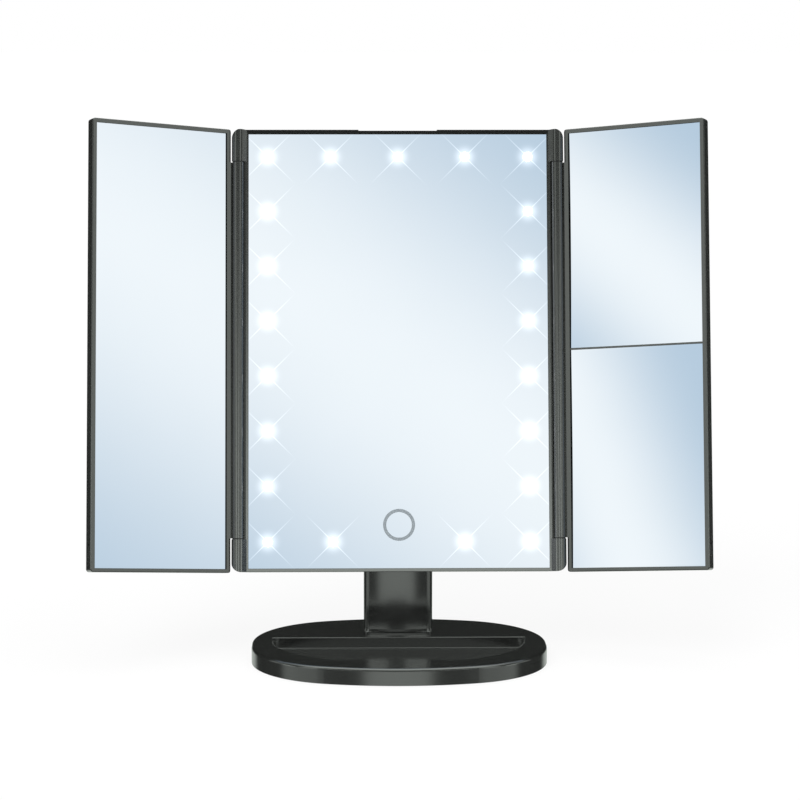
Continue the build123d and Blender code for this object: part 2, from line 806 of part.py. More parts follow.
with BuildPart() as switch_knob:
    with BuildSketch(panel.offset(switch_rear_n + switch_channel - knob_play)):
        with Locations((power_u, switch_height - switch_travel / 2)):
            Rectangle(knob_width, knob_length)
    extrude(amount=hump_n - knob_proud - (switch_rear_n + switch_channel - knob_play))
    with BuildSketch(panel.offset(hump_n - knob_proud)):
        with Locations((power_u, switch_height - switch_travel / 2)):
            with GridLocations(0, knob_groove_pitch, 1, knob_grooves):
                Rectangle(knob_width, knob_groove)
    extrude(amount=knob_groove, mode=Mode.SUBTRACT)
save(switch_knob.part, "switch_knob")

with BuildPart() as cover_screws:
    with BuildSketch(panel.offset(cover_n + screw_head_height)):
        with Locations(*cover_screw_spots):
            Circle(screw_head_radius)
    extrude(amount=-screw_head_height)
    with BuildSketch(panel.offset(cover_n + screw_head_height)):
        with Locations(*cover_screw_spots):
            Circle(screw_radius)
    extrude(amount=cover_edge - screw_head_height + frame_floor)
    with BuildSketch(panel.offset(cover_n)):
        with Locations(*cover_screw_spots):
            Rectangle(driver_width, driver_slot)
            Rectangle(driver_slot, driver_width)
    extrude(amount=driver_depth, mode=Mode.SUBTRACT)
save(cover_screws.part, "cover_screws")

# ---------------------------------------------------------------------- wings

wing_width = wing_outer - wing_inner
wing_back = wing_front - wing_depth
wing_glass_n = wing_front - wing_lip
wing_seat = wing_glass_n - glass_thickness - wing_tape
wing_floor_back = wing_seat - wing_floor
wing_glass_width = wing_glass_outer - wing_glass_inner
wing_glass_s = (wing_glass_inner + wing_glass_outer) / 2
wing_v = wing_bottom + wing_height / 2
wing_glass_v = wing_glass_bottom + wing_glass_height / 2
barrel_bottom = knuckle_length + barrel_gap
barrel_top = panel_height - knuckle_length - barrel_gap
lower_mirror_top = divider_height - divider_width / 2 - glass_gap
upper_mirror_bottom = divider_height + divider_width / 2 + glass_gap

for side, name in ((-1, "left"), (1, "right")):
    wing = wing_plane(side)
    with BuildPart() as wing_frame:
        with BuildSketch(wing.offset(wing_front)):
            with Locations((side * (wing_inner + wing_outer) / 2, wing_v)):
                RectangleRounded(wing_width, wing_height, wing_corner)
        extrude(amount=-wing_depth)
        front_face = wing_frame.faces().sort_by(Axis(wing.origin, wing.z_dir))[-1]
        fillet(front_face.edges(), wing_edge_round)
        # glass pocket in front, cover pocket behind
        with BuildSketch(wing.offset(wing_front)):
            with Locations((side * wing_glass_s, wing_glass_v)):
                Rectangle(wing_glass_width + 2 * glass_gap, wing_glass_height + 2 * glass_gap)
        extrude(amount=wing_seat - wing_front, mode=Mode.SUBTRACT)
        with BuildSketch(wing.offset(wing_back)):
            with Locations((side * (wing_inner + wing_outer) / 2, wing_v)):
                Rectangle(wing_width - 2 * wing_wall, wing_height - 2 * wing_wall)
        extrude(amount=wing_floor_back - wing_back, mode=Mode.SUBTRACT)
        # bevel along the inner front edge
        with BuildSketch(wing_across(side, wing_bottom + wing_height)):
            with BuildLine():
                Polyline(
                    (side * wing_inner, wing_front),
                    (side * (wing_inner + wing_relief_width), wing_front),
                    (side * wing_inner, wing_front - wing_relief_depth),
                    close=True,
                )
            make_face()
        extrude(amount=wing_height, mode=Mode.SUBTRACT)
        # hinge barrel and the web that joins it to the wing
        with BuildSketch(wing_across(side, barrel_top)):
            Circle(barrel_radius)
            with Locations((side * (wing_inner + wing_wall) / 2, wing_front - web_thickness / 2)):
                Rectangle(wing_inner + wing_wall, web_thickness)
        extrude(amount=barrel_top - barrel_bottom)
        # seats for the hinge bushes, drilled on for the pins
        for end_v, bore_radius, bore_length in (
            (barrel_top, bush_radius + press_fit, bush_length),
            (barrel_top, pin_radius + 2 * running_fit, bush_length + pin_room),
            (barrel_bottom + bush_length, bush_radius + press_fit, bush_length),
            (
                barrel_bottom + bush_length + pin_room, pin_radius + 2 * running_fit,
                bush_length + pin_room,
            ),
        ):
            with BuildSketch(wing_across(side, end_v)):
                Circle(bore_radius)
            extrude(amount=bore_length, mode=Mode.SUBTRACT)
        # fingernail groove in the outer edge
        groove_spot = (side * wing_outer, groove_height, wing_front - groove_setback)
        edge_plane = Plane(wing.from_local_coords(groove_spot), x_dir=up, z_dir=wing.x_dir * side)
        with BuildSketch(edge_plane):
            SlotOverall(groove_length, groove_width)
        extrude(amount=-groove_depth, mode=Mode.SUBTRACT)
        if side > 0:
            # bar between the two magnifying mirrors
            with BuildSketch(wing.offset(wing_glass_n)):
                with Locations((side * wing_glass_s, divider_height)):
                    Rectangle(wing_glass_width + 2 * glass_gap, divider_width)
            extrude(amount=wing_seat - wing_glass_n)
    save(wing_frame.part, f"{name}_wing_frame")

    with BuildPart() as wing_cover:
        with BuildSketch(wing.offset(wing_back)):
            with Locations((side * (wing_inner + wing_outer) / 2, wing_v)):
                Rectangle(
                    wing_width - 2 * wing_wall - 2 * glass_gap,
                    wing_height - 2 * wing_wall - 2 * glass_gap,
                )
        extrude(amount=wing_floor_back - wing_back)
        with BuildSketch(wing.offset(wing_floor_back)):
            with Locations((side * (wing_inner + wing_outer) / 2, wing_v)):
                Rectangle(
                    wing_width - 2 * wing_wall - 2 * wing_cover_rim,
                    wing_height - 2 * wing_wall - 2 * wing_cover_rim,
                )
        extrude(amount=wing_back + wing_cover_thickness - wing_floor_back, mode=Mode.SUBTRACT)
    save(wing_cover.part, f"{name}_wing_cover")

    with BuildPart() as wing_tape_ring:
        with BuildSketch(wing.offset(wing_glass_n - glass_thickness)):
            with Locations((side * wing_glass_s, wing_glass_v)):
                Rectangle(wing_glass_width - 2 * tape_inset, wing_glass_height - 2 * tape_inset)
                Rectangle(
                    wing_glass_width - 2 * tape_inset - 2 * wing_tape_width,
                    wing_glass_height - 2 * tape_inset - 2 * wing_tape_width,
                    mode=Mode.SUBTRACT,
                )
            if side > 0:
                with Locations((side * wing_glass_s, divider_height)):
                    Rectangle(wing_glass_width - 2 * wing_tape_width, 2 * wing_tape_width)
                    Rectangle(wing_glass_width, divider_width + 4 * glass_gap, mode=Mode.SUBTRACT)
        extrude(amount=-wing_tape)
    save(wing_tape_ring.part, f"{name}_wing_tape")

    # mirrors: plain on the left, two dished magnifying mirrors on the right
    if side < 0:
        mirrors = {"left_wing_mirror": (wing_glass_bottom, wing_glass_top, 0)}
    else:
        mirrors = {
            "right_upper_mirror": (upper_mirror_bottom, wing_glass_top, strong_curve),
            "right_lower_mirror": (wing_glass_bottom, lower_mirror_top, mild_curve),
        }
    for mirror_name, (low, high, dish_radius) in mirrors.items():
        with BuildPart() as wing_mirror:
            with BuildSketch(wing.offset(wing_glass_n)):
                with Locations((side * wing_glass_s, (low + high) / 2)):
                    Rectangle(wing_glass_width, high - low)
            extrude(amount=-glass_thickness)
            if dish_radius:
                dish = wing.offset(wing_glass_n - curve_depth + dish_radius)
                dish_center = dish.from_local_coords((side * wing_glass_s, (low + high) / 2, 0))
                with Locations(dish_center):
                    Sphere(dish_radius, mode=Mode.SUBTRACT)
        save(wing_mirror.part, mirror_name)

    # hinge pins, fixed in the knuckles, and the bushes that turn on them
    with BuildPart() as hinge_pins:
        for top in (
            knuckle_length + barrel_gap + bush_length,
            panel_height - knuckle_length + pin_in_knuckle,
        ):
            with BuildSketch(across(top)):
                with Locations((side * hinge_u, hinge_n)):
                    Circle(pin_radius)
            extrude(amount=pin_in_knuckle + barrel_gap + bush_length)
    save(hinge_pins.part, f"{name}_hinge_pins")

    with BuildPart() as hinge_bushes:
        for top in (barrel_bottom + bush_length, barrel_top):
            with BuildSketch(wing_across(side, top)):
                Circle(bush_radius)
                Circle(pin_radius + running_fit, mode=Mode.SUBTRACT)
            extrude(amount=bush_length)
        # flanges that fill the gaps to the knuckles
        for top in (barrel_bottom, barrel_top + barrel_gap - running_fit):
            with BuildSketch(wing_across(side, top)):
                Circle(bush_flange_radius)
                Circle(pin_radius + running_fit, mode=Mode.SUBTRACT)
            extrude(amount=barrel_gap - running_fit)
    save(hinge_bushes.part, f"{name}_hinge_bushes")

# ------------------------------------------------------------------ tilt hinge


def upright_across(x):
    """Plane at x, square to the tilt axis: local x is v, local y is n, towards +X."""
    return Plane(origin=panel.origin + Vector(x, 0, 0), x_dir=up, z_dir=(1, 0, 0))


shaft_fit = tilt_shaft_radius + running_fit

with BuildPart() as tilt_bracket:
    with BuildSketch(panel.offset(hump_n)):
        with Locations((0, tilt_v + (bracket_bottom + bracket_top) / 2)):
            RectangleRounded(bracket_width, bracket_top - bracket_bottom, bracket_corner)
        with Locations((0, tilt_v + (bracket_bottom + bracket_corner - ear_radius) / 2)):
            Rectangle(2 * ear_outer, bracket_bottom + bracket_corner + ear_radius)
    extrude(amount=-bracket_plate)
    for ear_x in (-ear_outer, ear_inner):
        with BuildSketch(upright_across(ear_x)):
            with Locations((tilt_v, (hump_n + tilt_n) / 2)):
                Rectangle(2 * ear_radius, hump_n - tilt_n)
            with Locations((tilt_v, tilt_n)):
                Circle(ear_radius)
        extrude(amount=ear_thickness)
        with BuildSketch(upright_across(ear_x)):
            with Locations((tilt_v, tilt_n)):
                Circle(shaft_fit)
        extrude(amount=ear_thickness, mode=Mode.SUBTRACT)
    with BuildSketch(panel.offset(hump_n)):
        with Locations(*bracket_screw_spots):
            Circle(screw_radius + press_fit)
    extrude(amount=-bracket_plate, mode=Mode.SUBTRACT)
save(tilt_bracket.part, "tilt_bracket")

with BuildPart() as bracket_screws:
    with BuildSketch(panel.offset(plate_n)):
        with Locations(*bracket_screw_spots):
            Circle(screw_head_radius)
    extrude(amount=-screw_head_height)
    with BuildSketch(panel.offset(plate_n)):
        with Locations(*bracket_screw_spots):
            Circle(screw_radius)
    extrude(amount=bracket_plate + cover_wall + bracket_boss)
    with BuildSketch(panel.offset(plate_n - screw_head_height)):
        with Locations(*bracket_screw_spots):
            Rectangle(driver_width, driver_slot)
            Rectangle(driver_slot, driver_width)
    extrude(amount=driver_depth, mode=Mode.SUBTRACT)
save(bracket_screws.part, "bracket_screws")

tilt_spot = (tilt_axis_y, tilt_axis_z)
with BuildPart() as tilt_shaft:
    with BuildSketch(side_plane(-core_ear_outer - shaft_head_length)):
        with Locations(tilt_spot):
            Circle(shaft_head_radius)
    extrude(amount=shaft_head_length)
    with BuildSketch(side_plane(-core_ear_outer)):
        with Locations(tilt_spot):
            Circle(tilt_shaft_radius)
    extrude(amount=2 * core_ear_outer + shaft_nut_length)
save(tilt_shaft.part, "tilt_shaft")

with BuildPart() as shaft_nut:
    with BuildSketch(side_plane(core_ear_outer)):
        with Locations(tilt_spot):
            RegularPolygon(nut_width / 2, 6, major_radius=False)
            Circle(tilt_shaft_radius + press_fit, mode=Mode.SUBTRACT)
    extrude(amount=shaft_nut_length)
save(shaft_nut.part, "shaft_nut")

with BuildPart() as friction_washers:
    for washer_x in (-core_ear_inner, washer_inner):
        with BuildSketch(side_plane(washer_x)):
            with Locations(tilt_spot):
                Circle(ear_radius - washer_inset)
                Circle(tilt_shaft_radius + press_fit, mode=Mode.SUBTRACT)
        extrude(amount=washer_thickness)
save(friction_washers.part, "friction_washers")

# ------------------------------------------------------------------------ neck

core_depth = neck_depth - 2 * neck_wall - 2 * core_clearance
with BuildPart() as neck_core:
    with BuildSketch(Plane.XY.offset(foot_top)):
        with Locations((0, tilt_axis_y)):
            Rectangle(2 * core_ear_outer, core_depth)
            with Locations((neck_screw_u, 0), (-neck_screw_u, 0)):
                Circle(neck_screw_radius + press_fit, mode=Mode.SUBTRACT)
    extrude(amount=core_thickness)
    for ear_x in (-core_ear_outer, core_ear_inner):
        with BuildSketch(side_plane(ear_x)):
            with Locations((tilt_axis_y, (foot_top + tilt_axis_z) / 2)):
                Rectangle(core_depth, tilt_axis_z - foot_top)
            with Locations(tilt_spot):
                Circle(core_depth / 2)
        extrude(amount=core_thickness)
        with BuildSketch(side_plane(ear_x)):
            with Locations(tilt_spot):
                Circle(tilt_shaft_radius + press_fit)
        extrude(amount=core_thickness, mode=Mode.SUBTRACT)
save(neck_core.part, "neck_core")

neck_front = tilt_axis_y - neck_depth / 2
neck_back = tilt_axis_y + neck_depth / 2


def neck_plan(inset):
    """Plan of the neck: a rounded oblong with a crowned front."""
    half = neck_width / 2 - inset
    with BuildSketch() as plan:
        with BuildLine():
            Line((-half, neck_front + inset), (-half, neck_back - inset))
            Line((-half, neck_back - inset), (half, neck_back - inset))
            Line((half, neck_back - inset), (half, neck_front + inset))
            ThreePointArc(
                (half, neck_front + inset),
                (0, neck_front - neck_crown + inset),
                (-half, neck_front + inset),
            )
        make_face()
        fillet(plan.vertices(), neck_corner - inset)
    return plan.sketch


def neck_form(inset):
    """The neck as a solid, shrunk by inset on every side but the bottom."""
    radius = head_radius - inset
    shoulder_y = neck_front - neck_crown + inset
    slant = hypot(tilt_axis_y - shoulder_y, neck_shoulder)
    lean = atan2(tilt_axis_y - shoulder_y, neck_shoulder) - asin(radius / slant)
    touch = (tilt_axis_y - radius * cos(lean), tilt_axis_z + radius * sin(lean))
    with BuildPart() as form:
        with BuildSketch(Plane.XY.offset(foot_top)):
            add(neck_plan(inset))
        extrude(amount=tilt_axis_z + head_radius - foot_top)
        with BuildSketch(side_plane(-neck_width / 2)):
            with BuildLine():
                Polyline(
                    (neck_back - inset, tilt_axis_z),
                    (neck_back - inset, foot_top),
                    (shoulder_y, foot_top),
                    (shoulder_y, tilt_axis_z - neck_shoulder),
                    touch,
                )
                ThreePointArc(
                    touch, (tilt_axis_y, tilt_axis_z + radius), (neck_back - inset, tilt_axis_z)
                )
            make_face()
        extrude(amount=neck_width, mode=Mode.INTERSECT)
        with BuildSketch(Plane.XZ.offset(-neck_back)):
            with Locations((0, tilt_axis_z + head_radius - inset)):
                RectangleRounded(
                    neck_width - 2 * inset, 2 * (tilt_axis_z - foot_top), neck_top_round - inset,
                    align=(Align.CENTER, Align.MAX),
                )
        extrude(amount=neck_back - neck_front + neck_crown, mode=Mode.INTERSECT)
    return form.part


front_boss_reach = neck_depth / 2 + neck_crown - neck_wall / 2
rear_boss_reach = neck_depth / 2 - neck_wall / 2
neck_screw_spots = [(0, z) for z in neck_cover_screw_heights]
split_plane = Plane.XZ.offset(-tilt_axis_y)

for front, name in ((True, "neck_front_cover"), (False, "neck_rear_cover")):
    with BuildPart() as neck_cover:
        add(neck_form(0))
        # low flare where the neck meets the deck, steeper towards the top
        for step_flare, step_height in ((neck_flare, neck_flare / 3), (neck_flare / 3, neck_flare)):
            with BuildSketch(Plane.XY.offset(foot_top)):
                add(neck_plan(0))
                offset(amount=step_flare)
            extrude(amount=step_height, taper=degrees(atan2(step_flare, step_height)))
        add(neck_form(neck_wall), mode=Mode.SUBTRACT)
        # slot for the arms of the tilt bracket, over the top of the head
        with BuildSketch(side_plane(-slot_half_width)):
            with BuildLine():
                Polyline(
                    (neck_front - 2 * neck_crown, tilt_axis_z - slot_drop),
                    (tilt_axis_y, tilt_axis_z - slot_drop),
                    (tilt_axis_y, tilt_axis_z + slot_step),
                    (tilt_axis_y + ear_radius, tilt_axis_z + slot_step),
                    (tilt_axis_y + ear_radius, tilt_axis_z + 2 * head_radius),
                    (neck_front - 2 * neck_crown, tilt_axis_z + 2 * head_radius),
                    close=True,
                )
            make_face()
        extrude(amount=2 * slot_half_width, mode=Mode.SUBTRACT)
        # bosses that the two covers are screwed together through
        with BuildSketch(split_plane):
            with Locations(*neck_screw_spots):
                Circle(neck_boss_radius)
        extrude(amount=front_boss_reach if front else -rear_boss_reach)
        with BuildSketch(split_plane):
            with Locations(*neck_screw_spots):
                Circle(screw_radius + press_fit)
        extrude(amount=neck_screw_reach if front else -neck_depth / 2, mode=Mode.SUBTRACT)
        with BuildSketch(Plane.XZ.offset(-neck_back)):
            with Locations(*neck_screw_spots):
                Circle(screw_head_radius + screw_head_gap)
        extrude(amount=neck_screw_sink, mode=Mode.SUBTRACT)
        split(bisect_by=split_plane, keep=Keep.TOP if front else Keep.BOTTOM)
    save(neck_cover.part, name)

with BuildPart() as neck_cover_screws:
    with BuildSketch(Plane.XZ.offset(-(neck_back - neck_screw_sink))):
        with Locations(*neck_screw_spots):
            Circle(screw_head_radius)
    extrude(amount=-screw_head_height)
    with BuildSketch(Plane.XZ.offset(-(neck_back - neck_screw_sink))):
        with Locations(*neck_screw_spots):
            Circle(screw_radius)
    extrude(amount=neck_depth / 2 - neck_screw_sink + neck_screw_reach - screw_tip_gap)
    with BuildSketch(Plane.XZ.offset(-(neck_back - neck_screw_sink + screw_head_height))):
        with Locations(*neck_screw_spots):
            Rectangle(driver_width, driver_slot)
            Rectangle(driver_slot, driver_width)
    extrude(amount=driver_depth, mode=Mode.SUBTRACT)
save(neck_cover_screws.part, "neck_cover_screws")

deck_under = foot_top - deck_thickness
with BuildPart() as neck_screws:
    with BuildSketch(Plane.XY.offset(deck_under)):
        with Locations((neck_screw_u, tilt_axis_y), (-neck_screw_u, tilt_axis_y)):
            Circle(neck_screw_head_radius)
    extrude(amount=-neck_screw_head_height)
    with BuildSketch(Plane.XY.offset(deck_under)):
        with Locations((neck_screw_u, tilt_axis_y), (-neck_screw_u, tilt_axis_y)):
            Circle(neck_screw_radius)
    extrude(amount=deck_thickness + 2 * core_thickness)
save(neck_screws.part, "neck_screws")

# ------------------------------------------------------------------------ foot

end_center = foot_width / 2 - foot_end_radius
side_reach = half_depth - foot_end_flat
side_radius = (end_center**2 + side_reach**2 - foot_end_radius**2) / (
    2 * (side_reach - foot_end_radius)
)
blend_x = end_center / (side_radius - foot_end_radius)
blend_y = (side_radius - side_reach) / (side_radius - foot_end_radius)
mid_x, mid_y = cos(atan2(blend_y, blend_x) / 2), sin(atan2(blend_y, blend_x) / 2)


def foot_oval(inset):
    """Outline of the foot, arcs and short flat ends tangent to each other, shrunk by inset."""
    end_radius = foot_end_radius - inset
    corner_x, corner_y = end_center + end_radius * blend_x, foot_end_flat + end_radius * blend_y
    turn_x, turn_y = end_center + end_radius * mid_x, foot_end_flat + end_radius * mid_y
    side_y = half_depth - inset
    end_x = foot_width / 2 - inset
    with BuildSketch() as outline:
        with BuildLine() as half:
            ThreePointArc((-corner_x, corner_y), (0, side_y), (corner_x, corner_y))
            for end in (-1, 1):
                ThreePointArc(
                    (end * corner_x, corner_y), (end * turn_x, turn_y), (end * end_x, foot_end_flat)
                )
                Line((end * end_x, foot_end_flat), (end * end_x, 0))
            mirror(half.line, about=Plane.XZ)
        make_face()
    return outline.sketch


def tray_outline(margin=0):
    """Outline of the tray, straight at the back, an arc in front, grown by margin."""
    with BuildSketch() as outline:
        with Locations((0, tray_front + tray_front_radius)):
            Circle(tray_front_radius)
        with Locations((0, (tray_back + tray_front) / 2)):
            Rectangle(tray_width, tray_back - tray_front, mode=Mode.INTERSECT)
        fillet(outline.vertices().sort_by(Axis.Y)[:2], tray_corner)
        if margin:
            offset(amount=margin)
    return outline.sketch


tray_z = foot_top - tray_depth
cavity_z = tray_z - tray_floor
plate_top = foot_bottom + base_plate_thickness
base_screw_spots = [
    (-base_screw_x, base_screw_y),
    (base_screw_x, base_screw_y),
    (0, half_depth - base_screw_back),
    (0, -half_depth + base_screw_front),
]
rubber_foot_spots = [
    (side * rubber_foot_x, end * rubber_foot_y) for side in (-1, 1) for end in (-1, 1)
]
rubber_foot_spots += [(0, 0)]

with BuildPart() as foot_shell:
    with BuildSketch(Plane.XY.offset(foot_bottom)):
        add(foot_oval(0))
    extrude(amount=foot_top - foot_bottom)
    fillet(foot_shell.faces().sort_by(Axis.Z)[-1].edges(), foot_edge_round)
    # tray, with its sides and front rounded into the floor
    with BuildSketch(Plane.XY.offset(foot_top)):
        add(tray_outline())
    extrude(amount=-tray_depth, mode=Mode.SUBTRACT)
    floor_edges = foot_shell.edges().filter_by_position(Axis.Z, tray_z - 0.01, tray_z + 0.01)
    fillet(floor_edges.sort_by(Axis.Y)[:-1], tray_round)
    floor_edges = foot_shell.edges().filter_by_position(Axis.Z, tray_z - 0.01, tray_z + 0.01)
    fillet(floor_edges.sort_by(Axis.Y)[-1], tray_back_round)
    rim = foot_shell.faces().sort_by(Axis.Z)[-1].inner_wires()[0]
    fillet(rim.edges(), tray_edge_round)
    # hollow from below
    with BuildSketch(Plane.XY.offset(foot_bottom)):
        add(foot_oval(foot_wall))
    extrude(amount=cavity_z - foot_bottom, mode=Mode.SUBTRACT)
    with BuildSketch(Plane.XY.offset(cavity_z)):
        add(foot_oval(foot_wall))
        add(tray_outline(foot_wall), mode=Mode.SUBTRACT)
    extrude(amount=deck_under - cavity_z, mode=Mode.SUBTRACT)
    # screw bosses
    with BuildSketch(Plane.XY.offset(plate_top)):
        with Locations(*base_screw_spots):
            Circle(screw_boss_radius)
    extrude(amount=deck_under - plate_top)
    with BuildSketch(Plane.XY.offset(plate_top)):
        with Locations(*base_screw_spots):
            Circle(screw_radius + press_fit)
    extrude(amount=base_screw_length, mode=Mode.SUBTRACT)
    with BuildSketch(Plane.XY.offset(deck_under)):
        with Locations((neck_screw_u, tilt_axis_y), (-neck_screw_u, tilt_axis_y)):
            Circle(neck_screw_radius + press_fit)
    extrude(amount=deck_thickness, mode=Mode.SUBTRACT)
save(foot_shell.part, "foot_shell")

sink_height = screw_head_radius - screw_radius
with BuildPart() as base_plate:
    with BuildSketch(Plane.XY.offset(foot_bottom)):
        add(foot_oval(foot_wall + base_clearance))
    extrude(amount=base_plate_thickness)
    with BuildSketch(Plane.XY.offset(foot_bottom)):
        with Locations(*rubber_foot_spots):
            Circle(rubber_foot_radius + press_fit)
    extrude(amount=rubber_foot_thickness - foot_bottom, mode=Mode.SUBTRACT)
    with BuildSketch(Plane.XY.offset(foot_bottom)):
        with Locations(*base_screw_spots):
            Circle(screw_head_radius + press_fit)
    extrude(amount=sink_height, taper=45, mode=Mode.SUBTRACT)
    with BuildSketch(Plane.XY.offset(foot_bottom)):
        with Locations(*base_screw_spots):
            Circle(screw_radius + press_fit)
    extrude(amount=base_plate_thickness, mode=Mode.SUBTRACT)
save(base_plate.part, "base_plate")

with BuildPart() as base_screws:
    with BuildSketch(Plane.XY.offset(foot_bottom)):
        with Locations(*base_screw_spots):
            Circle(screw_head_radius)
    extrude(amount=sink_height, taper=45)
    with BuildSketch(Plane.XY.offset(foot_bottom)):
        with Locations(*base_screw_spots):
            Circle(screw_radius)
    extrude(amount=base_plate_thickness + base_screw_length - screw_tip_gap)
    with BuildSketch(Plane.XY.offset(foot_bottom)):
        with Locations(*base_screw_spots):
            Rectangle(driver_width, driver_slot)
            Rectangle(driver_slot, driver_width)
    extrude(amount=driver_depth, mode=Mode.SUBTRACT)
save(base_screws.part, "base_screws")

with BuildPart() as ballast_plate:
    with BuildSketch(Plane.XY.offset(plate_top)):
        with Locations((0, (ballast_front + ballast_back) / 2)):
            Rectangle(2 * ballast_half_width, ballast_back - ballast_front)
        add(foot_oval(2 * foot_wall), mode=Mode.INTERSECT)
        with Locations((0, tilt_axis_y)):
            Rectangle(
                2 * neck_screw_u + 2 * neck_screw_head_radius + 2 * ballast_gap,
                2 * neck_screw_head_radius + 2 * ballast_gap,
                mode=Mode.SUBTRACT,
            )
    extrude(amount=ballast_thickness)
save(ballast_plate.part, "ballast_plate")

with BuildPart() as rubber_feet:
    with BuildSketch():
        with Locations(*rubber_foot_spots):
            Circle(rubber_foot_radius)
    extrude(amount=rubber_foot_thickness)
save(rubber_feet.part, "rubber_feet")
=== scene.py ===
# %% [markdown]
# # A lit folding vanity mirror
# A centre mirror with a ring of small lamps, two side wings on upright hinges, a short
# neck with a tilt joint, and an oval foot with a tray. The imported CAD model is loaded
# first and stays as it is. Everything below gives its parts their real finishes, builds
# the two magnifying mirrors again from a finer mesh, and sets up a plain white studio.

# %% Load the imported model
from math import asin, cos, degrees, pi, radians, sin, sqrt

import bmesh
import bpy
from mathutils import Matrix, Vector


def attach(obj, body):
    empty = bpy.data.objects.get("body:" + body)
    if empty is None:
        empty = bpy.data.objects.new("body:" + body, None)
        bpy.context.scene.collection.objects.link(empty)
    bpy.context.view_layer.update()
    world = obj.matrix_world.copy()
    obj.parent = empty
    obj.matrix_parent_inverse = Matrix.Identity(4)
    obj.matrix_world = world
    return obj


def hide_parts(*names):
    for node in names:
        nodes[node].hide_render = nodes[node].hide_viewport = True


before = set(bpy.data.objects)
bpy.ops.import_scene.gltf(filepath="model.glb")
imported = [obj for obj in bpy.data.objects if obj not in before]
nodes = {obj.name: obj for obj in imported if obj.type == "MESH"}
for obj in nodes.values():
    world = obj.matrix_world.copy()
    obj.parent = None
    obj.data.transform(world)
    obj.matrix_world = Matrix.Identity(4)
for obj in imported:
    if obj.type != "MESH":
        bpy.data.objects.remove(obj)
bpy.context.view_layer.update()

MM = 0.001

# %% [markdown]
# ## Two helpers
# Makers write colours as sRGB hex codes, but a renderer adds up light, so each code is
# turned to linear values once, here. Shader trees are long to write by hand, so one
# small function adds a node, sets its properties and fills its sockets. A socket is
# given either a plain value or the output that feeds it.

# %% Colour and node helpers
def srgb(code):
    """Turn a hex colour such as '#2b2c2c' into linear red, green, blue and alpha."""
    channels = [int(code[i:i + 2], 16) / 255 for i in (1, 3, 5)]
    linear = [c / 12.92 if c <= 0.04045 else ((c + 0.055) / 1.055) ** 2.4 for c in channels]
    return (*linear, 1.0)


def add_node(tree, kind, sockets=None, **settings):
    """Add one node. A socket gets a plain value, an output, or a node's first output."""
    made = tree.nodes.new(kind)
    for name, value in settings.items():
        setattr(made, name, value)
    for key, value in (sockets or {}).items():
        if isinstance(value, bpy.types.Node):
            value = value.outputs[0]
        if isinstance(value, bpy.types.NodeSocket):
            tree.links.new(value, made.inputs[key])
        else:
            made.inputs[key].default_value = value
    return made


MATH = "ShaderNodeMath"
RANGE = "ShaderNodeMapRange"
MIX = "ShaderNodeMix"
SOFT = {"interpolation_type": "SMOOTHSTEP", "clamp": True}
print("black plastic in linear light:", [round(c, 4) for c in srgb("#171817")[:3]])

# %% [markdown]
# ## The camera
# A long lens from a metre and a half away keeps the wings nearly square. It looks a few
# degrees down, so that the tray in the foot shows, and a hair to the right. The aim is
# given as a direction, and the camera's three axes are worked out from it.

# %% Place the camera
CAMERA_PLACE = Vector((-31.49, -1471.82, 350.78)) * MM
CAMERA_AIM = Vector((0.021389, 0.989819, -0.140715)).normalized()
CAMERA_ROLL = radians(0.055)
FILM_WIDTH = 36.0
FOCAL_LENGTH = 125.566

level_right = CAMERA_AIM.cross(Vector((0, 0, 1))).normalized()
level_up = level_right.cross(CAMERA_AIM)
right = level_right * cos(CAMERA_ROLL) + level_up * sin(CAMERA_ROLL)
above = level_up * cos(CAMERA_ROLL) - level_right * sin(CAMERA_ROLL)
camera_data = bpy.data.cameras.new("studio_camera")
camera_data.sensor_fit = "HORIZONTAL"
camera_data.sensor_width = FILM_WIDTH
camera_data.lens = FOCAL_LENGTH
camera_data.clip_start = 0.05
camera_data.clip_end = 20
camera = bpy.data.objects.new("studio_camera", camera_data)
camera.matrix_world = Matrix((
    (right.x, above.x, -CAMERA_AIM.x, CAMERA_PLACE.x),
    (right.y, above.y, -CAMERA_AIM.y, CAMERA_PLACE.y),
    (right.z, above.z, -CAMERA_AIM.z, CAMERA_PLACE.z),
    (0, 0, 0, 1),
))
bpy.context.scene.collection.objects.link(camera)
bpy.context.scene.camera = camera
bpy.context.scene.view_settings.view_transform = "Standard"
print(f"camera {FOCAL_LENGTH} mm, looking {degrees(asin(-CAMERA_AIM.z)):.1f} degrees down")

# %% [markdown]
# ## The studio
# A mirror shows nothing of its own: its look is the room in front of it. Mirrors are
# shown in a tent of white cloth with soft, slightly blue shading. Black plastic has the
# opposite need. It is almost invisible unless something bright stands beside it, so
# round it hang lighter and darker panels. A perfectly sharp reflection is what Cycles
# calls a singular ray, and a satin one is not, so the world can give the mirrors their
# cloth and the plastic its panels. The camera sees plain white, and matt surfaces get
# one even level.
#
# Directions are split into a bearing, nought towards the viewer and positive to the
# right, and a height above the horizon, both in degrees.

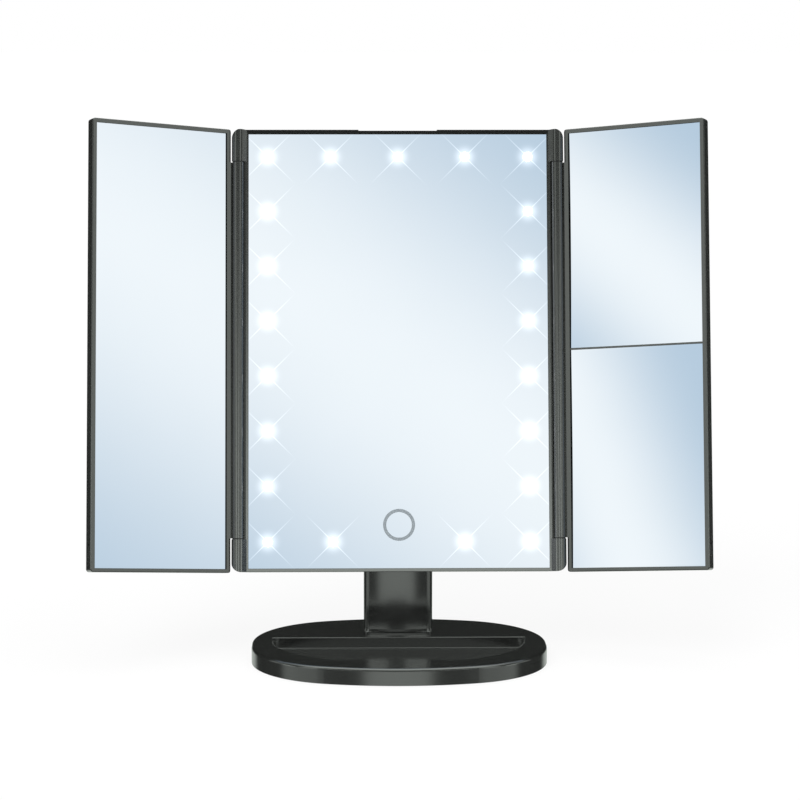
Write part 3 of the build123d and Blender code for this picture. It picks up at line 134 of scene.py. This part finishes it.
# %% World: bearing and height of each direction
world = bpy.data.worlds.new("white_tent")
bpy.context.scene.world = world
world.use_nodes = True
world.cycles.sampling_method = "NONE"
tent = world.node_tree
tent.nodes.clear()
direction = add_node(tent, "ShaderNodeTexCoord").outputs["Generated"]
axes = add_node(tent, "ShaderNodeSeparateXYZ", {0: direction})
towards_viewer = add_node(tent, MATH, {0: axes.outputs["Y"], 1: -1.0}, operation="MULTIPLY")
turned = add_node(tent, MATH, {0: axes.outputs["X"], 1: towards_viewer}, operation="ARCTAN2")
bearing = add_node(tent, MATH, {0: turned}, operation="DEGREES")
risen = add_node(tent, MATH, {0: axes.outputs["Z"]}, operation="ARCSINE")
height = add_node(tent, MATH, {0: risen}, operation="DEGREES")
aside = add_node(tent, MATH, {0: bearing}, operation="ABSOLUTE")
print("world split into bearing and height")

# %% [markdown]
# The cloth is lit in broad slanting waves. Each wave is a cosine of bearing and height,
# and each mirror's part of the room has its own, because the three mirrors face three
# ways. A dished mirror gathers a narrow cone of directions, so the two parts that the
# magnifying mirrors see need a steeper wave to show any shading. Those waves stay inside
# soft-edged patches, and one slow wave fills the rest of the room.

# %% World: slanting waves of shade
WAVES = {
    # name: (centre bearing, centre height, turn per degree of bearing and of height, turn
    # at the centre), with turns in radians
    "room": (0.0, 0.0, 0.03, 0.05, 0.9),
    "front": (1.26, 18.4, -0.2543, -0.3787, -0.1868),
    "right": (52.05, 13.82, 0.2665, 0.3113, -0.6003),
    "left_high": (-49.97, 16.37, 0.8392, 1.9707, -0.415),
    "left_low": (-49.18, 11.95, -3.9455, -7.8943, 0.7795),
}
shade = {}
for wave, (bearing_0, height_0, per_bearing, per_height, turn_0) in WAVES.items():
    at_nought = turn_0 - (per_bearing * bearing_0 + per_height * height_0)
    across = add_node(
        tent, MATH, {0: bearing, 1: per_bearing, 2: at_nought}, operation="MULTIPLY_ADD"
    )
    turn = add_node(tent, MATH, {0: height, 1: per_height, 2: across}, operation="MULTIPLY_ADD")
    crest = add_node(tent, MATH, {0: turn}, operation="COSINE")
    shade[wave] = add_node(tent, MATH, {0: crest, 1: -0.5, 2: 0.5}, operation="MULTIPLY_ADD")
print("waves:", ", ".join(WAVES))

# %% World: a patch of the room for each mirror
LOW_WAVE_TOP = 13.4
HIGH_WAVE_FOOT = 14.6
to_high = add_node(
    tent, RANGE, {"Value": height, "From Min": LOW_WAVE_TOP, "From Max": HIGH_WAVE_FOOT}, **SOFT
)
left_shade = add_node(tent, MIX, {0: to_high, 2: shade["left_low"], 3: shade["left_high"]})
PATCHES = (
    # (shade, middle bearing, half its width, lowest, highest)
    (shade["front"], 1.3, 7.0, 13.0, 26.0),
    (shade["right"], 52.0, 4.0, 8.0, 21.5),
    (left_shade, -49.7, 3.5, 10.0, 20.5),
)
EDGE = 3.0
room_shade = shade["room"]
for patch_shade, middle, half, lowest, highest in PATCHES:
    to_side = add_node(tent, MATH, {0: bearing, 1: middle}, operation="SUBTRACT")
    off = add_node(tent, MATH, {0: to_side}, operation="ABSOLUTE")
    inside = 1.0
    for reading, gone, full in (
        (off, half + EDGE, half), (height, lowest - EDGE, lowest), (height, highest + EDGE, highest)
    ):
        step = add_node(tent, RANGE, {"Value": reading, "From Min": gone, "From Max": full}, **SOFT)
        inside = add_node(tent, MATH, {0: step, 1: inside}, operation="MULTIPLY")
    room_shade = add_node(tent, MIX, {0: inside, 2: room_shade, 3: patch_shade})
TENT_WHITE = srgb("#f6fbff")
TENT_BLUE = srgb("#bbcfe1")
cloth = add_node(
    tent, MIX, {0: room_shade, 6: TENT_WHITE, 7: TENT_BLUE}, data_type="RGBA"
).outputs[2]
print(len(PATCHES), "patches, each", EDGE, "degrees soft")

# %% [markdown]
# The panels are laid out by height. Upright walls mirror the low ones, and the leaning
# frame and its hinges mirror the middle ones. What stands behind is dark at middle
# height, where level tops mirror it, which keeps the tops black. Below the horizon and
# behind hangs a light panel, because the back of the frame leans down towards it.

# %% World: panels for the plastic
def hang_panels(stops):
    """Light by bearing, alike to the right and to the left: (degrees, light) pairs."""
    peak = max(light for _, light in stops)
    share = add_node(tent, MATH, {0: aside, 1: 180.0}, operation="DIVIDE")
    strip = add_node(tent, "ShaderNodeValToRGB", {0: share})
    strip.color_ramp.interpolation = "EASE"
    ends = strip.color_ramp.elements
    for place, light in stops[1:-1]:
        ends.new(place / 180).color = (light / peak, light / peak, light / peak, 1)
    for end, (_, light) in ((ends[0], stops[0]), (ends[-1], stops[-1])):
        end.color = (light / peak, light / peak, light / peak, 1)
    return add_node(tent, MATH, {0: strip, 1: peak}, operation="MULTIPLY")


low_light = hang_panels((
    (0, 1.6), (11, 1.6), (17, 0.25), (27, 0.25), (34, 0.5), (41, 0.95), (78, 1.0),
    (92, 0.12), (135, 0.05), (150, 0.6), (180, 0.6),
))
middle_light = hang_panels((
    (0, 0.4), (6, 0.4), (12, 0.03), (34, 0.03), (42, 1.4), (58, 1.4), (65, 0.12),
    (85, 0.12), (92, 0.9), (102, 0.9), (110, 0.08), (150, 0.03), (180, 0.03),
))
STRIPS = (
    # (light by bearing), (heights where it starts and is full), (where it fades and is gone)
    (((0, 0.0), (64, 0.0), (70, 3.3), (81, 3.3), (88, 0.0), (180, 0.0)), (-8, -2), (3, 13)),
    (((0, 0.3), (5, 0.3), (9, 3.2), (30, 3.2), (36, 0.0), (180, 0.0)), (9, 13), (13, 22)),
)
for stops, (start, full), (fades, gone) in STRIPS:
    rise = add_node(tent, RANGE, {"Value": height, "From Min": start, "From Max": full}, **SOFT)
    fall = add_node(tent, RANGE, {"Value": height, "From Min": gone, "From Max": fades}, **SOFT)
    within = add_node(tent, MATH, {0: rise, 1: fall}, operation="MULTIPLY")
    middle_light = add_node(
        tent, MATH, {0: hang_panels(stops), 1: within, 2: middle_light}, operation="MULTIPLY_ADD"
    )
OVERHEAD_LIGHT = 2.6
underfoot = hang_panels(((0, 0.05), (85, 0.05), (115, 0.8), (180, 0.8)))
LAYERS = (
    # (light, heights where it starts and is full)
    (middle_light, -6, 1), (OVERHEAD_LIGHT, 35, 65), (underfoot, -15, -25),
)
panel_light = low_light
for layer_light, start, full in LAYERS:
    step = add_node(tent, RANGE, {"Value": height, "From Min": start, "From Max": full}, **SOFT)
    panel_light = add_node(tent, MIX, {0: step, 2: panel_light, 3: layer_light})
print("panels: low, middle, strips, overhead and underfoot")

# %% World: put together
PANEL_TINT = srgb("#f7fff8")
EVEN_LIGHT = 0.55
WHITE = (1, 1, 1, 1)
cloth_sky = add_node(tent, "ShaderNodeBackground", {"Color": cloth, "Strength": 1.0})
panel_sky = add_node(
    tent, "ShaderNodeBackground", {"Color": PANEL_TINT, "Strength": panel_light}
)
even_sky = add_node(tent, "ShaderNodeBackground", {"Color": WHITE, "Strength": EVEN_LIGHT})
white_sky = add_node(tent, "ShaderNodeBackground", {"Color": WHITE, "Strength": 1.0})
ray = add_node(tent, "ShaderNodeLightPath").outputs
seen = add_node(
    tent, MATH, {0: ray["Is Camera Ray"], 1: ray["Is Transmission Ray"]}, operation="MAXIMUM"
)
sky = even_sky
for ray_kind, next_sky in (
    (ray["Is Glossy Ray"], panel_sky), (ray["Is Singular Ray"], cloth_sky), (seen, white_sky),
):
    sky = add_node(tent, "ShaderNodeMixShader", {0: ray_kind, 1: sky, 2: next_sky})
add_node(tent, "ShaderNodeOutputWorld", {"Surface": sky})
print("world joined")

# %% [markdown]
# ## Floor and lamps
# The floor is a pale sheet that runs out of sight. What the camera sees of it is part
# paint and part glow. The two add up to a hair over white where nothing stands in the
# light, and the paint's part still takes a faint shadow. Every other ray meets plain pale
# paint. The lamps are two wide soft suns, one in front and one above, because a sun lights
# every part of a large floor alike. They are hidden from gloss: the tent already gives
# plastic and mirrors all that they reflect.

# %% Lamps
SUNS = {
    # name: (where it shines from, strength, width in degrees)
    "front_sun": (Vector((-0.35, -0.80, 0.75)), 1.2, 30.0),
    "top_sun": (Vector((0.10, -0.15, 1.00)), 0.8, 45.0),
}
floor_light = EVEN_LIGHT
for sun_name, (source, strength, width) in SUNS.items():
    sun_data = bpy.data.lights.new(sun_name, "SUN")
    sun_data.energy = strength
    sun_data.angle = radians(width)
    sun = bpy.data.objects.new(sun_name, sun_data)
    sun.rotation_euler = (-source).to_track_quat("-Z", "Y").to_euler()
    sun.visible_glossy = False
    bpy.context.scene.collection.objects.link(sun)
    floor_light += strength * source.normalized().z / pi
print(f"a white floor with nothing on it would show {floor_light:.2f}")

# %% Floor
FLOOR_PAINT = 0.14
FLOOR_SEEN = 1.01  # what the camera sees of an empty floor, where 1 is white
FLOOR_UNSEEN = 0.8
FLOOR_HALF_WIDTH = 30.0
floor_mesh = bpy.data.meshes.new("floor")
grower = bmesh.new()
bmesh.ops.create_grid(grower, x_segments=1, y_segments=1, size=FLOOR_HALF_WIDTH)
grower.to_mesh(floor_mesh)
grower.free()
floor = bpy.data.objects.new("floor", floor_mesh)
bpy.context.scene.collection.objects.link(floor)
floor.visible_glossy = False

paper = bpy.data.materials.new("white_backdrop_paper")
paper.use_nodes = True
sheet = paper.node_tree
sheet.nodes.clear()
paint = add_node(
    sheet, "ShaderNodeBsdfDiffuse", {"Color": (FLOOR_PAINT, FLOOR_PAINT, FLOOR_PAINT, 1)}
)
glow = add_node(
    sheet, "ShaderNodeEmission",
    {"Color": WHITE, "Strength": FLOOR_SEEN - FLOOR_PAINT * floor_light},
)
both = add_node(sheet, "ShaderNodeAddShader", {0: paint, 1: glow})
pale = add_node(
    sheet, "ShaderNodeBsdfDiffuse", {"Color": (FLOOR_UNSEEN, FLOOR_UNSEEN, FLOOR_UNSEEN, 1)}
)
sight = add_node(sheet, "ShaderNodeLightPath").outputs["Is Camera Ray"]
choice = add_node(sheet, "ShaderNodeMixShader", {0: sight, 1: pale, 2: both})
add_node(sheet, "ShaderNodeOutputMaterial", {"Surface": choice})
floor_mesh.materials.append(paper)
print("floor", 2 * FLOOR_HALF_WIDTH, "m across")

# %% [markdown]
# ## Materials
# Every material reads Object coordinates. Each CAD mesh lies at its true place with its
# object at the origin, so these are metres in the mirror's own frame, and a pattern's
# scale follows from its real size. Noise with a scale of S has features about 1/S
# metres across.

# %% A grained finish
NOISE_LOW, NOISE_HIGH = 0.3, 0.7  # noise hardly ever leaves this span
ROUGH_SPREAD = 0.03


def per_size(size_mm):
    """Texture scale whose features are about size_mm across."""
    return 1.0 / (size_mm * MM)


def grained_finish(name, first, second, cloud_mm, grain_mm, depth_mm, rough, metallic=0.0):
    """Two close shades that drift in clouds, under a fine grain that breaks up the gloss."""
    material = bpy.data.materials.new(name)
    material.use_nodes = True
    tree = material.node_tree
    tree.nodes.clear()
    place = add_node(tree, "ShaderNodeTexCoord").outputs["Object"]
    clouds = add_node(
        tree, "ShaderNodeTexNoise",
        {"Vector": place, "Scale": per_size(cloud_mm), "Detail": 3.0, "Roughness": 0.5},
    )
    colour = add_node(
        tree, MIX, {0: clouds, 6: srgb(first), 7: srgb(second)}, data_type="RGBA"
    ).outputs[2]
    grain = add_node(
        tree, "ShaderNodeTexNoise",
        {"Vector": place, "Scale": per_size(grain_mm), "Detail": 2.0, "Roughness": 0.55},
    )
    bump = add_node(
        tree, "ShaderNodeBump", {"Height": grain, "Distance": depth_mm * MM, "Strength": 1.0}
    )
    uneven = add_node(
        tree, RANGE,
        {"Value": grain, "From Min": NOISE_LOW, "From Max": NOISE_HIGH,
         "To Min": rough - ROUGH_SPREAD, "To Max": rough + ROUGH_SPREAD},
    )
    shader = add_node(
        tree, "ShaderNodeBsdfPrincipled",
        {"Base Color": colour, "Normal": bump, "Roughness": uneven, "Metallic": metallic},
    )
    add_node(tree, "ShaderNodeOutputMaterial", {"Surface": shader})
    return material, shader


print("grained finish ready")

# %% [markdown]
# ### Black ABS
# The frame, covers, neck and foot are moulded in black ABS from a polished mould. That
# leaves a glossy skin over a colour that is a very dark grey more than black. ABS has an
# index near 1.54, and the skin is drawn as a thin clear coat. The faint unevenness of
# the skin is finer than can show here, so it is drawn at 0.5 mm.

# %% Black ABS
moulded_abs, shader = grained_finish(
    "moulded_black_abs", "#171817", "#1b1c1b", 35.0, 0.5, 0.0015, 0.20
)
shader.inputs["IOR"].default_value = 1.54
shader.inputs["Coat Weight"].default_value = 1.0
shader.inputs["Coat Roughness"].default_value = 0.12
shader.inputs["Coat IOR"].default_value = 1.5
print(moulded_abs.name)

# %% [markdown]
# ### Silvered float glass
# A mirror is clear glass with silver on its back. Light crosses two millimetres of
# faintly green glass twice, so the reflection is a little darker and cooler than the
# room. It is drawn as a polished metal of that tint, with no roughness at all, because
# float glass is perfectly smooth. Its drift is faint: silver goes on as a wet spray, and
# leaves clouds a few centimetres wide.

# %% Silvered glass
def silvered_glass(name):
    """A silvered mirror. Returns the material, its tree, its shader and the coordinates."""
    material = bpy.data.materials.new(name)
    material.use_nodes = True
    tree = material.node_tree
    tree.nodes.clear()
    place = add_node(tree, "ShaderNodeTexCoord").outputs["Object"]
    clouds = add_node(
        tree, "ShaderNodeTexNoise",
        {"Vector": place, "Scale": per_size(60.0), "Detail": 2.0, "Roughness": 0.5},
    )
    tint = add_node(
        tree, MIX, {0: clouds, 6: srgb("#f6f9fa"), 7: srgb("#fafcfd")}, data_type="RGBA"
    ).outputs[2]
    shader = add_node(
        tree, "ShaderNodeBsdfPrincipled", {"Base Color": tint, "Metallic": 1.0, "Roughness": 0.0}
    )
    add_node(tree, "ShaderNodeOutputMaterial", {"Surface": shader})
    return material, tree, shader, place


silvered, tree, shader, place = silvered_glass("silvered_float_glass")
print(silvered.name)

# %% [markdown]
# The silver is two millimetres behind the front of the glass. Beside the hinge, where a
# folded wing is seen past its frame, the eye looks through that clear edge into the dark
# seat of the frame. That dark is painted shade: a thin line of each wing glass next to its
# hinge is painted dark in the glass's colour. The two wings mirror each other, so the
# distance from the hinge is worked out once.

# %% Painted shade beside the hinge
LEAN = radians(12.75)
PANEL_FOOT = Vector((0, 0, 48.35)) * MM
UP_PANEL = Vector((0, sin(LEAN), cos(LEAN)))
OUT_OF_PANEL = Vector((0, -cos(LEAN), sin(LEAN)))
WING_FOLD = radians(27.0)
HINGE_ASIDE_MM = 86.75
HINGE_FORWARD_MM = 0.8
WING_HINGE = PANEL_FOOT + Vector((HINGE_ASIDE_MM, 0, 0)) * MM + OUT_OF_PANEL * HINGE_FORWARD_MM * MM
ALONG_WING = Vector((cos(WING_FOLD), 0, 0)) + OUT_OF_PANEL * sin(WING_FOLD)
GLASS_START = 6.35 * MM
PAINTED_SHADE_WIDTH = 0.45 * MM
PAINTED_SHADE_GONE = 1.3  # seat widths at which the dark has quite faded
one_side = add_node(tree, "ShaderNodeVectorMath", {0: place}, operation="ABSOLUTE")
split = add_node(tree, "ShaderNodeSeparateXYZ", {0: place}).outputs
folded_x = add_node(tree, "ShaderNodeSeparateXYZ", {0: one_side})
mirrored = add_node(
    tree, "ShaderNodeCombineXYZ", {0: folded_x, 1: split["Y"], 2: split["Z"]}
)
from_hinge = add_node(
    tree, "ShaderNodeVectorMath", {0: mirrored, 1: WING_HINGE}, operation="SUBTRACT"
)
along_wing = add_node(
    tree, "ShaderNodeVectorMath", {0: from_hinge, 1: ALONG_WING}, operation="DOT_PRODUCT"
).outputs["Value"]
clear = add_node(
    tree, RANGE,
    {"Value": along_wing, "From Min": GLASS_START + PAINTED_SHADE_WIDTH,
     "From Max": GLASS_START + PAINTED_SHADE_WIDTH * PAINTED_SHADE_GONE},
    **SOFT,
)
silver = shader.inputs["Base Color"].links[0].from_socket
# painted shade: the glass's colour turns dark grey in a thin line beside each hinge
painted_shade_colour = add_node(
    tree, MIX, {0: clear, 6: srgb("#1c1e1f"), 7: silver}, data_type="RGBA"
).outputs[2]
tree.links.new(painted_shade_colour, shader.inputs["Base Color"])
print(f"dark seat {PAINTED_SHADE_WIDTH / MM:.2f} mm wide")

# %% [markdown]
# The centre glass also carries a painted glow round its own lamps. Each lamp shines out
# through a bare disc, and round it the glass's own emission paints a soft halo and, along
# the two slants, a thin star: painted light on glass that is no lamp. The lamps stand in
# rows at even steps, so folding the plane's coordinates lays the lamps of a row on top of
# each other. The painted halo is then drawn once for each kind of row: the two sides, the
# top and the bottom.

# %% Centre glass with painted lamp halos
LAMP_SIDE = 70.7 * MM
LAMP_LOW = 16.05 * MM
LAMP_HIGH = 225.35 * MM
SIDE_LAMPS = 8
LAMP_STEP = (LAMP_HIGH - LAMP_LOW) / (SIDE_LAMPS - 1)
TOP_ROW_STEP = 36.5 * MM
BOTTOM_ROW_PLACE = 35.5 * MM

glass_with_painted_glow, tree, shader, place = silvered_glass("silvered_glass_with_painted_glow")
from_foot = add_node(
    tree, "ShaderNodeVectorMath", {0: place, 1: PANEL_FOOT}, operation="SUBTRACT"
)
up_glass = add_node(
    tree, "ShaderNodeVectorMath", {0: from_foot, 1: UP_PANEL}, operation="DOT_PRODUCT"
).outputs["Value"]
sideways = add_node(tree, "ShaderNodeSeparateXYZ", {0: place})
along = add_node(tree, MATH, {0: sideways}, operation="ABSOLUTE")
print(f"side lamps every {LAMP_STEP / MM:.1f} mm")

# %% How far each point is from the nearest lamp of a row
from_side = add_node(tree, MATH, {0: along, 1: LAMP_SIDE}, operation="SUBTRACT")
from_low = add_node(tree, MATH, {0: up_glass, 1: LAMP_LOW}, operation="SUBTRACT")
from_high = add_node(tree, MATH, {0: up_glass, 1: LAMP_HIGH}, operation="SUBTRACT")
from_top_lamp = add_node(tree, MATH, {0: along, 1: TOP_ROW_STEP}, operation="SUBTRACT")
from_low_lamp = add_node(tree, MATH, {0: along, 1: BOTTOM_ROW_PLACE}, operation="SUBTRACT")
folded = add_node(tree, MATH, {0: from_low, 1: LAMP_STEP / 2}, operation="PINGPONG")
off_top_lamp = add_node(tree, MATH, {0: from_top_lamp}, operation="ABSOLUTE")
nearest_top = add_node(tree, MATH, {0: along, 1: off_top_lamp}, operation="MINIMUM")
rows = ((from_side, folded), (nearest_top, from_high), (from_low_lamp, from_low))
print(len(rows), "rows of lamps")

# %% Painted halo and star, laid on every row
HALO_REACH = 11.0 * MM
STAR_REACH = 23.0 * MM
STAR_WIDTH = 0.5 * MM
STAR_SHARE = 0.8
CORE = 1.0 * MM
HALO_FADE = 3.0
PAINTED_GLOW_STRENGTH = 0.45
painted_glows = 0.0
for off_side, off_height in rows:
    beside = add_node(tree, MATH, {0: off_side}, operation="ABSOLUTE")
    over = add_node(tree, MATH, {0: off_height}, operation="ABSOLUTE")
    offset = add_node(tree, "ShaderNodeCombineXYZ", {0: beside, 1: over})
    far = add_node(
        tree, "ShaderNodeVectorMath", {0: offset}, operation="LENGTH"
    ).outputs["Value"]
    fade = add_node(tree, RANGE, {"Value": far, "From Min": HALO_REACH, "From Max": CORE}, **SOFT)
    painted_halo = add_node(tree, MATH, {0: fade, 1: HALO_FADE}, operation="POWER")
    unlike = add_node(tree, MATH, {0: beside, 1: over}, operation="SUBTRACT")
    slant = add_node(tree, MATH, {0: unlike}, operation="ABSOLUTE")
    thin = add_node(tree, RANGE, {"Value": slant, "From Min": STAR_WIDTH, "From Max": 0.0}, **SOFT)
    reach = add_node(tree, RANGE, {"Value": far, "From Min": STAR_REACH, "From Max": CORE}, **SOFT)
    painted_star = add_node(tree, MATH, {0: thin, 1: reach}, operation="MULTIPLY")
    light = add_node(tree, MATH, {0: painted_star, 1: STAR_SHARE, 2: painted_halo}, operation="MULTIPLY_ADD")
    painted_glows = add_node(tree, MATH, {0: light, 1: painted_glows}, operation="MAXIMUM")
# painted light: the silvered glass itself glows round each lamp, in a halo and a star
painted_glow_strength = add_node(tree, MATH, {0: painted_glows, 1: PAINTED_GLOW_STRENGTH}, operation="MULTIPLY")
shader.inputs["Emission Color"].default_value = srgb("#f7fbff")
tree.links.new(painted_glow_strength.outputs[0], shader.inputs["Emission Strength"])
print(glass_with_painted_glow.name)

# %% [markdown]
# ### Lamp windows and touch ring
# Behind each lamp the silver is taken off and the glass is etched, which leaves a small
# frosted disc. Lit from behind by a white lamp it is the brightest thing in sight. The
# touch mark is a ring etched in the same way, but with no lamp behind it, so it shows
# as a cool grey line.

# %% Lit frosted windows
window_lit, shader = grained_finish(
    "etched_glass_lit", "#f4f7fa", "#ffffff", 1.0, 0.4, 0.01, 0.52
)
shader.inputs["Emission Color"].default_value = srgb("#fbfdff")
shader.inputs["Emission Strength"].default_value = 3.0
ring_etch, _ = grained_finish(
    "etched_glass_ring", "#8f989e", "#9aa3a9", 1.0, 0.4, 0.01, 0.57
)
print(window_lit.name, ring_etch.name)

# %% [markdown]
# ### The rest of the parts list
# Screws and contacts are metal, the cells have a plastic wrap, the boards are glass-fibre
# laminate, and the feet and tapes are rubber and foam. Most of them hide inside, but each
# gets the finish of the real thing, since a viewer can take the covers off.

# %% Small parts
SMALL_PARTS = {
    # slot: (finish, two shades, clouds, grain and its depth in mm, roughness, metallic)
    "copper_foil": ("copper_foil", "#c98c64", "#d39a72", 4.0, 1.5, 0.004, 0.3, 1.0),
    "foam_tape": ("closed_cell_foam", "#232323", "#2c2c2c", 3.0, 0.6, 0.05, 0.9, 0.0),
    "white_board": ("white_solder_mask", "#e6e8e6", "#f0f1ef", 6.0, 1.0, 0.002, 0.4, 0.0),
    "lamp_case": ("lamp_resin", "#e9dfa8", "#f2e9b8", 2.0, 0.8, 0.002, 0.35, 0.0),
    "green_board": ("green_laminate", "#1d5a36", "#24663e", 6.0, 1.2, 0.004, 0.4, 0.0),
    "cell_can": ("cell_wrap", "#4a5a66", "#546572", 8.0, 2.0, 0.004, 0.35, 0.0),
    "nickel_plate": ("nickel_plated_spring", "#b9b6ae", "#c6c3bb", 4.0, 0.8, 0.002, 0.28, 1.0),
    "zinc_screw": ("black_zinc_screw", "#4b4c4e", "#5a5b5d", 2.0, 0.5, 0.002, 0.36, 1.0),
    "black_steel": ("blackened_steel", "#3a3b3c", "#464748", 5.0, 0.8, 0.003, 0.42, 1.0),
    "acetal": ("black_acetal", "#1d1d1d", "#222222", 5.0, 1.0, 0.003, 0.42, 0.0),
    "foot_rubber": ("moulded_rubber", "#232424", "#2a2b2b", 5.0, 0.7, 0.02, 0.75, 0.0),
}
finishes = {slot: grained_finish(*values)[0] for slot, values in SMALL_PARTS.items()}
finishes.update(black_abs=moulded_abs, silvered_glass=silvered, frosted_window=window_lit)
print("finishes:", ", ".join(sorted(finishes)))

# %% Give every CAD node its finish
for node_name, thing in nodes.items():
    for slot in thing.material_slots:
        slot.material = finishes[slot.material.name.split(".")[0]]
nodes["touch_ring"].material_slots[0].material = ring_etch
nodes["center_mirror"].material_slots[0].material = glass_with_painted_glow
print("finishes given to", len(nodes), "nodes")

# %% [markdown]
# ## The two magnifying mirrors
# A magnifying mirror is a shallow dish, here less than a millimetre and a half deep. A
# reflection shows every facet of such a faint curve, so each dish is built again from a
# fine grid: a flat grid, each point pushed back to a sphere, then the sheet extruded to
# a flat back. The front is shaded smooth and the cut edges stay sharp.

# %% Plane of the right wing
OUT_OF_WING = OUT_OF_PANEL * cos(WING_FOLD) - Vector((sin(WING_FOLD), 0, 0))
wing_plane = Matrix.Identity(4)
for column, axis in enumerate((ALONG_WING, UP_PANEL, OUT_OF_WING, WING_HINGE)):
    wing_plane.col[column][:3] = axis
print("wing plane leans and folds with the wing")


# %% Dished mirrors
GLASS_END = 81.75 * MM
GLASS_FRONT = -1.2 * MM
GLASS_THICKNESS = 2.0 * MM
CELLS_WIDE, CELLS_TALL = 60, 92
FACES_FRONT = 0.9  # how far a face's normal must point forward for it to count as front


def dished_glass(name, node, bottom, top, dish_radius):
    """A glass whose front is part of a sphere that reaches its four corners."""
    wide, tall = GLASS_END - GLASS_START, top - bottom
    grower = bmesh.new()
    bmesh.ops.create_grid(grower, x_segments=CELLS_WIDE, y_segments=CELLS_TALL, size=0.5)
    bmesh.ops.scale(grower, vec=(wide, tall, 1), verts=grower.verts)
    corner = (wide / 2) ** 2 + (tall / 2) ** 2
    for point in grower.verts:
        off_axis = point.co.x ** 2 + point.co.y ** 2
        point.co.z = sqrt(dish_radius ** 2 - corner) - sqrt(dish_radius ** 2 - off_axis)
    back = bmesh.ops.extrude_face_region(grower, geom=list(grower.faces), use_keep_orig=True)
    back_points = [part for part in back["geom"] if isinstance(part, bmesh.types.BMVert)]
    for point in back_points:
        point.co.z = -GLASS_THICKNESS
    bmesh.ops.recalc_face_normals(grower, faces=grower.faces)
    for face in grower.faces:
        face.smooth = face.normal.z > FACES_FRONT
    for edge in grower.edges:
        edge.smooth = all(face.smooth for face in edge.link_faces)
    middle = Matrix.Translation(((GLASS_START + GLASS_END) / 2, (bottom + top) / 2, GLASS_FRONT))
    bmesh.ops.transform(grower, matrix=wing_plane @ middle, verts=grower.verts)
    mesh = bpy.data.meshes.new(name)
    grower.to_mesh(mesh)
    grower.free()
    mesh.materials.append(silvered)
    glass = bpy.data.objects.new(name, mesh)
    bpy.context.scene.collection.objects.link(glass)
    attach(glass, "right_wing")
    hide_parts(node)
    print(name, "dish", round((dish_radius - sqrt(dish_radius ** 2 - corner)) / MM, 2), "mm")


dished_glass(
    "strong_magnifier", "right_upper_mirror",
    bottom=120.35 * MM, top=237.65 * MM, dish_radius=1900 * MM,
)
dished_glass(
    "mild_magnifier", "right_lower_mirror",
    bottom=1.65 * MM, top=119.25 * MM, dish_radius=2600 * MM,
)
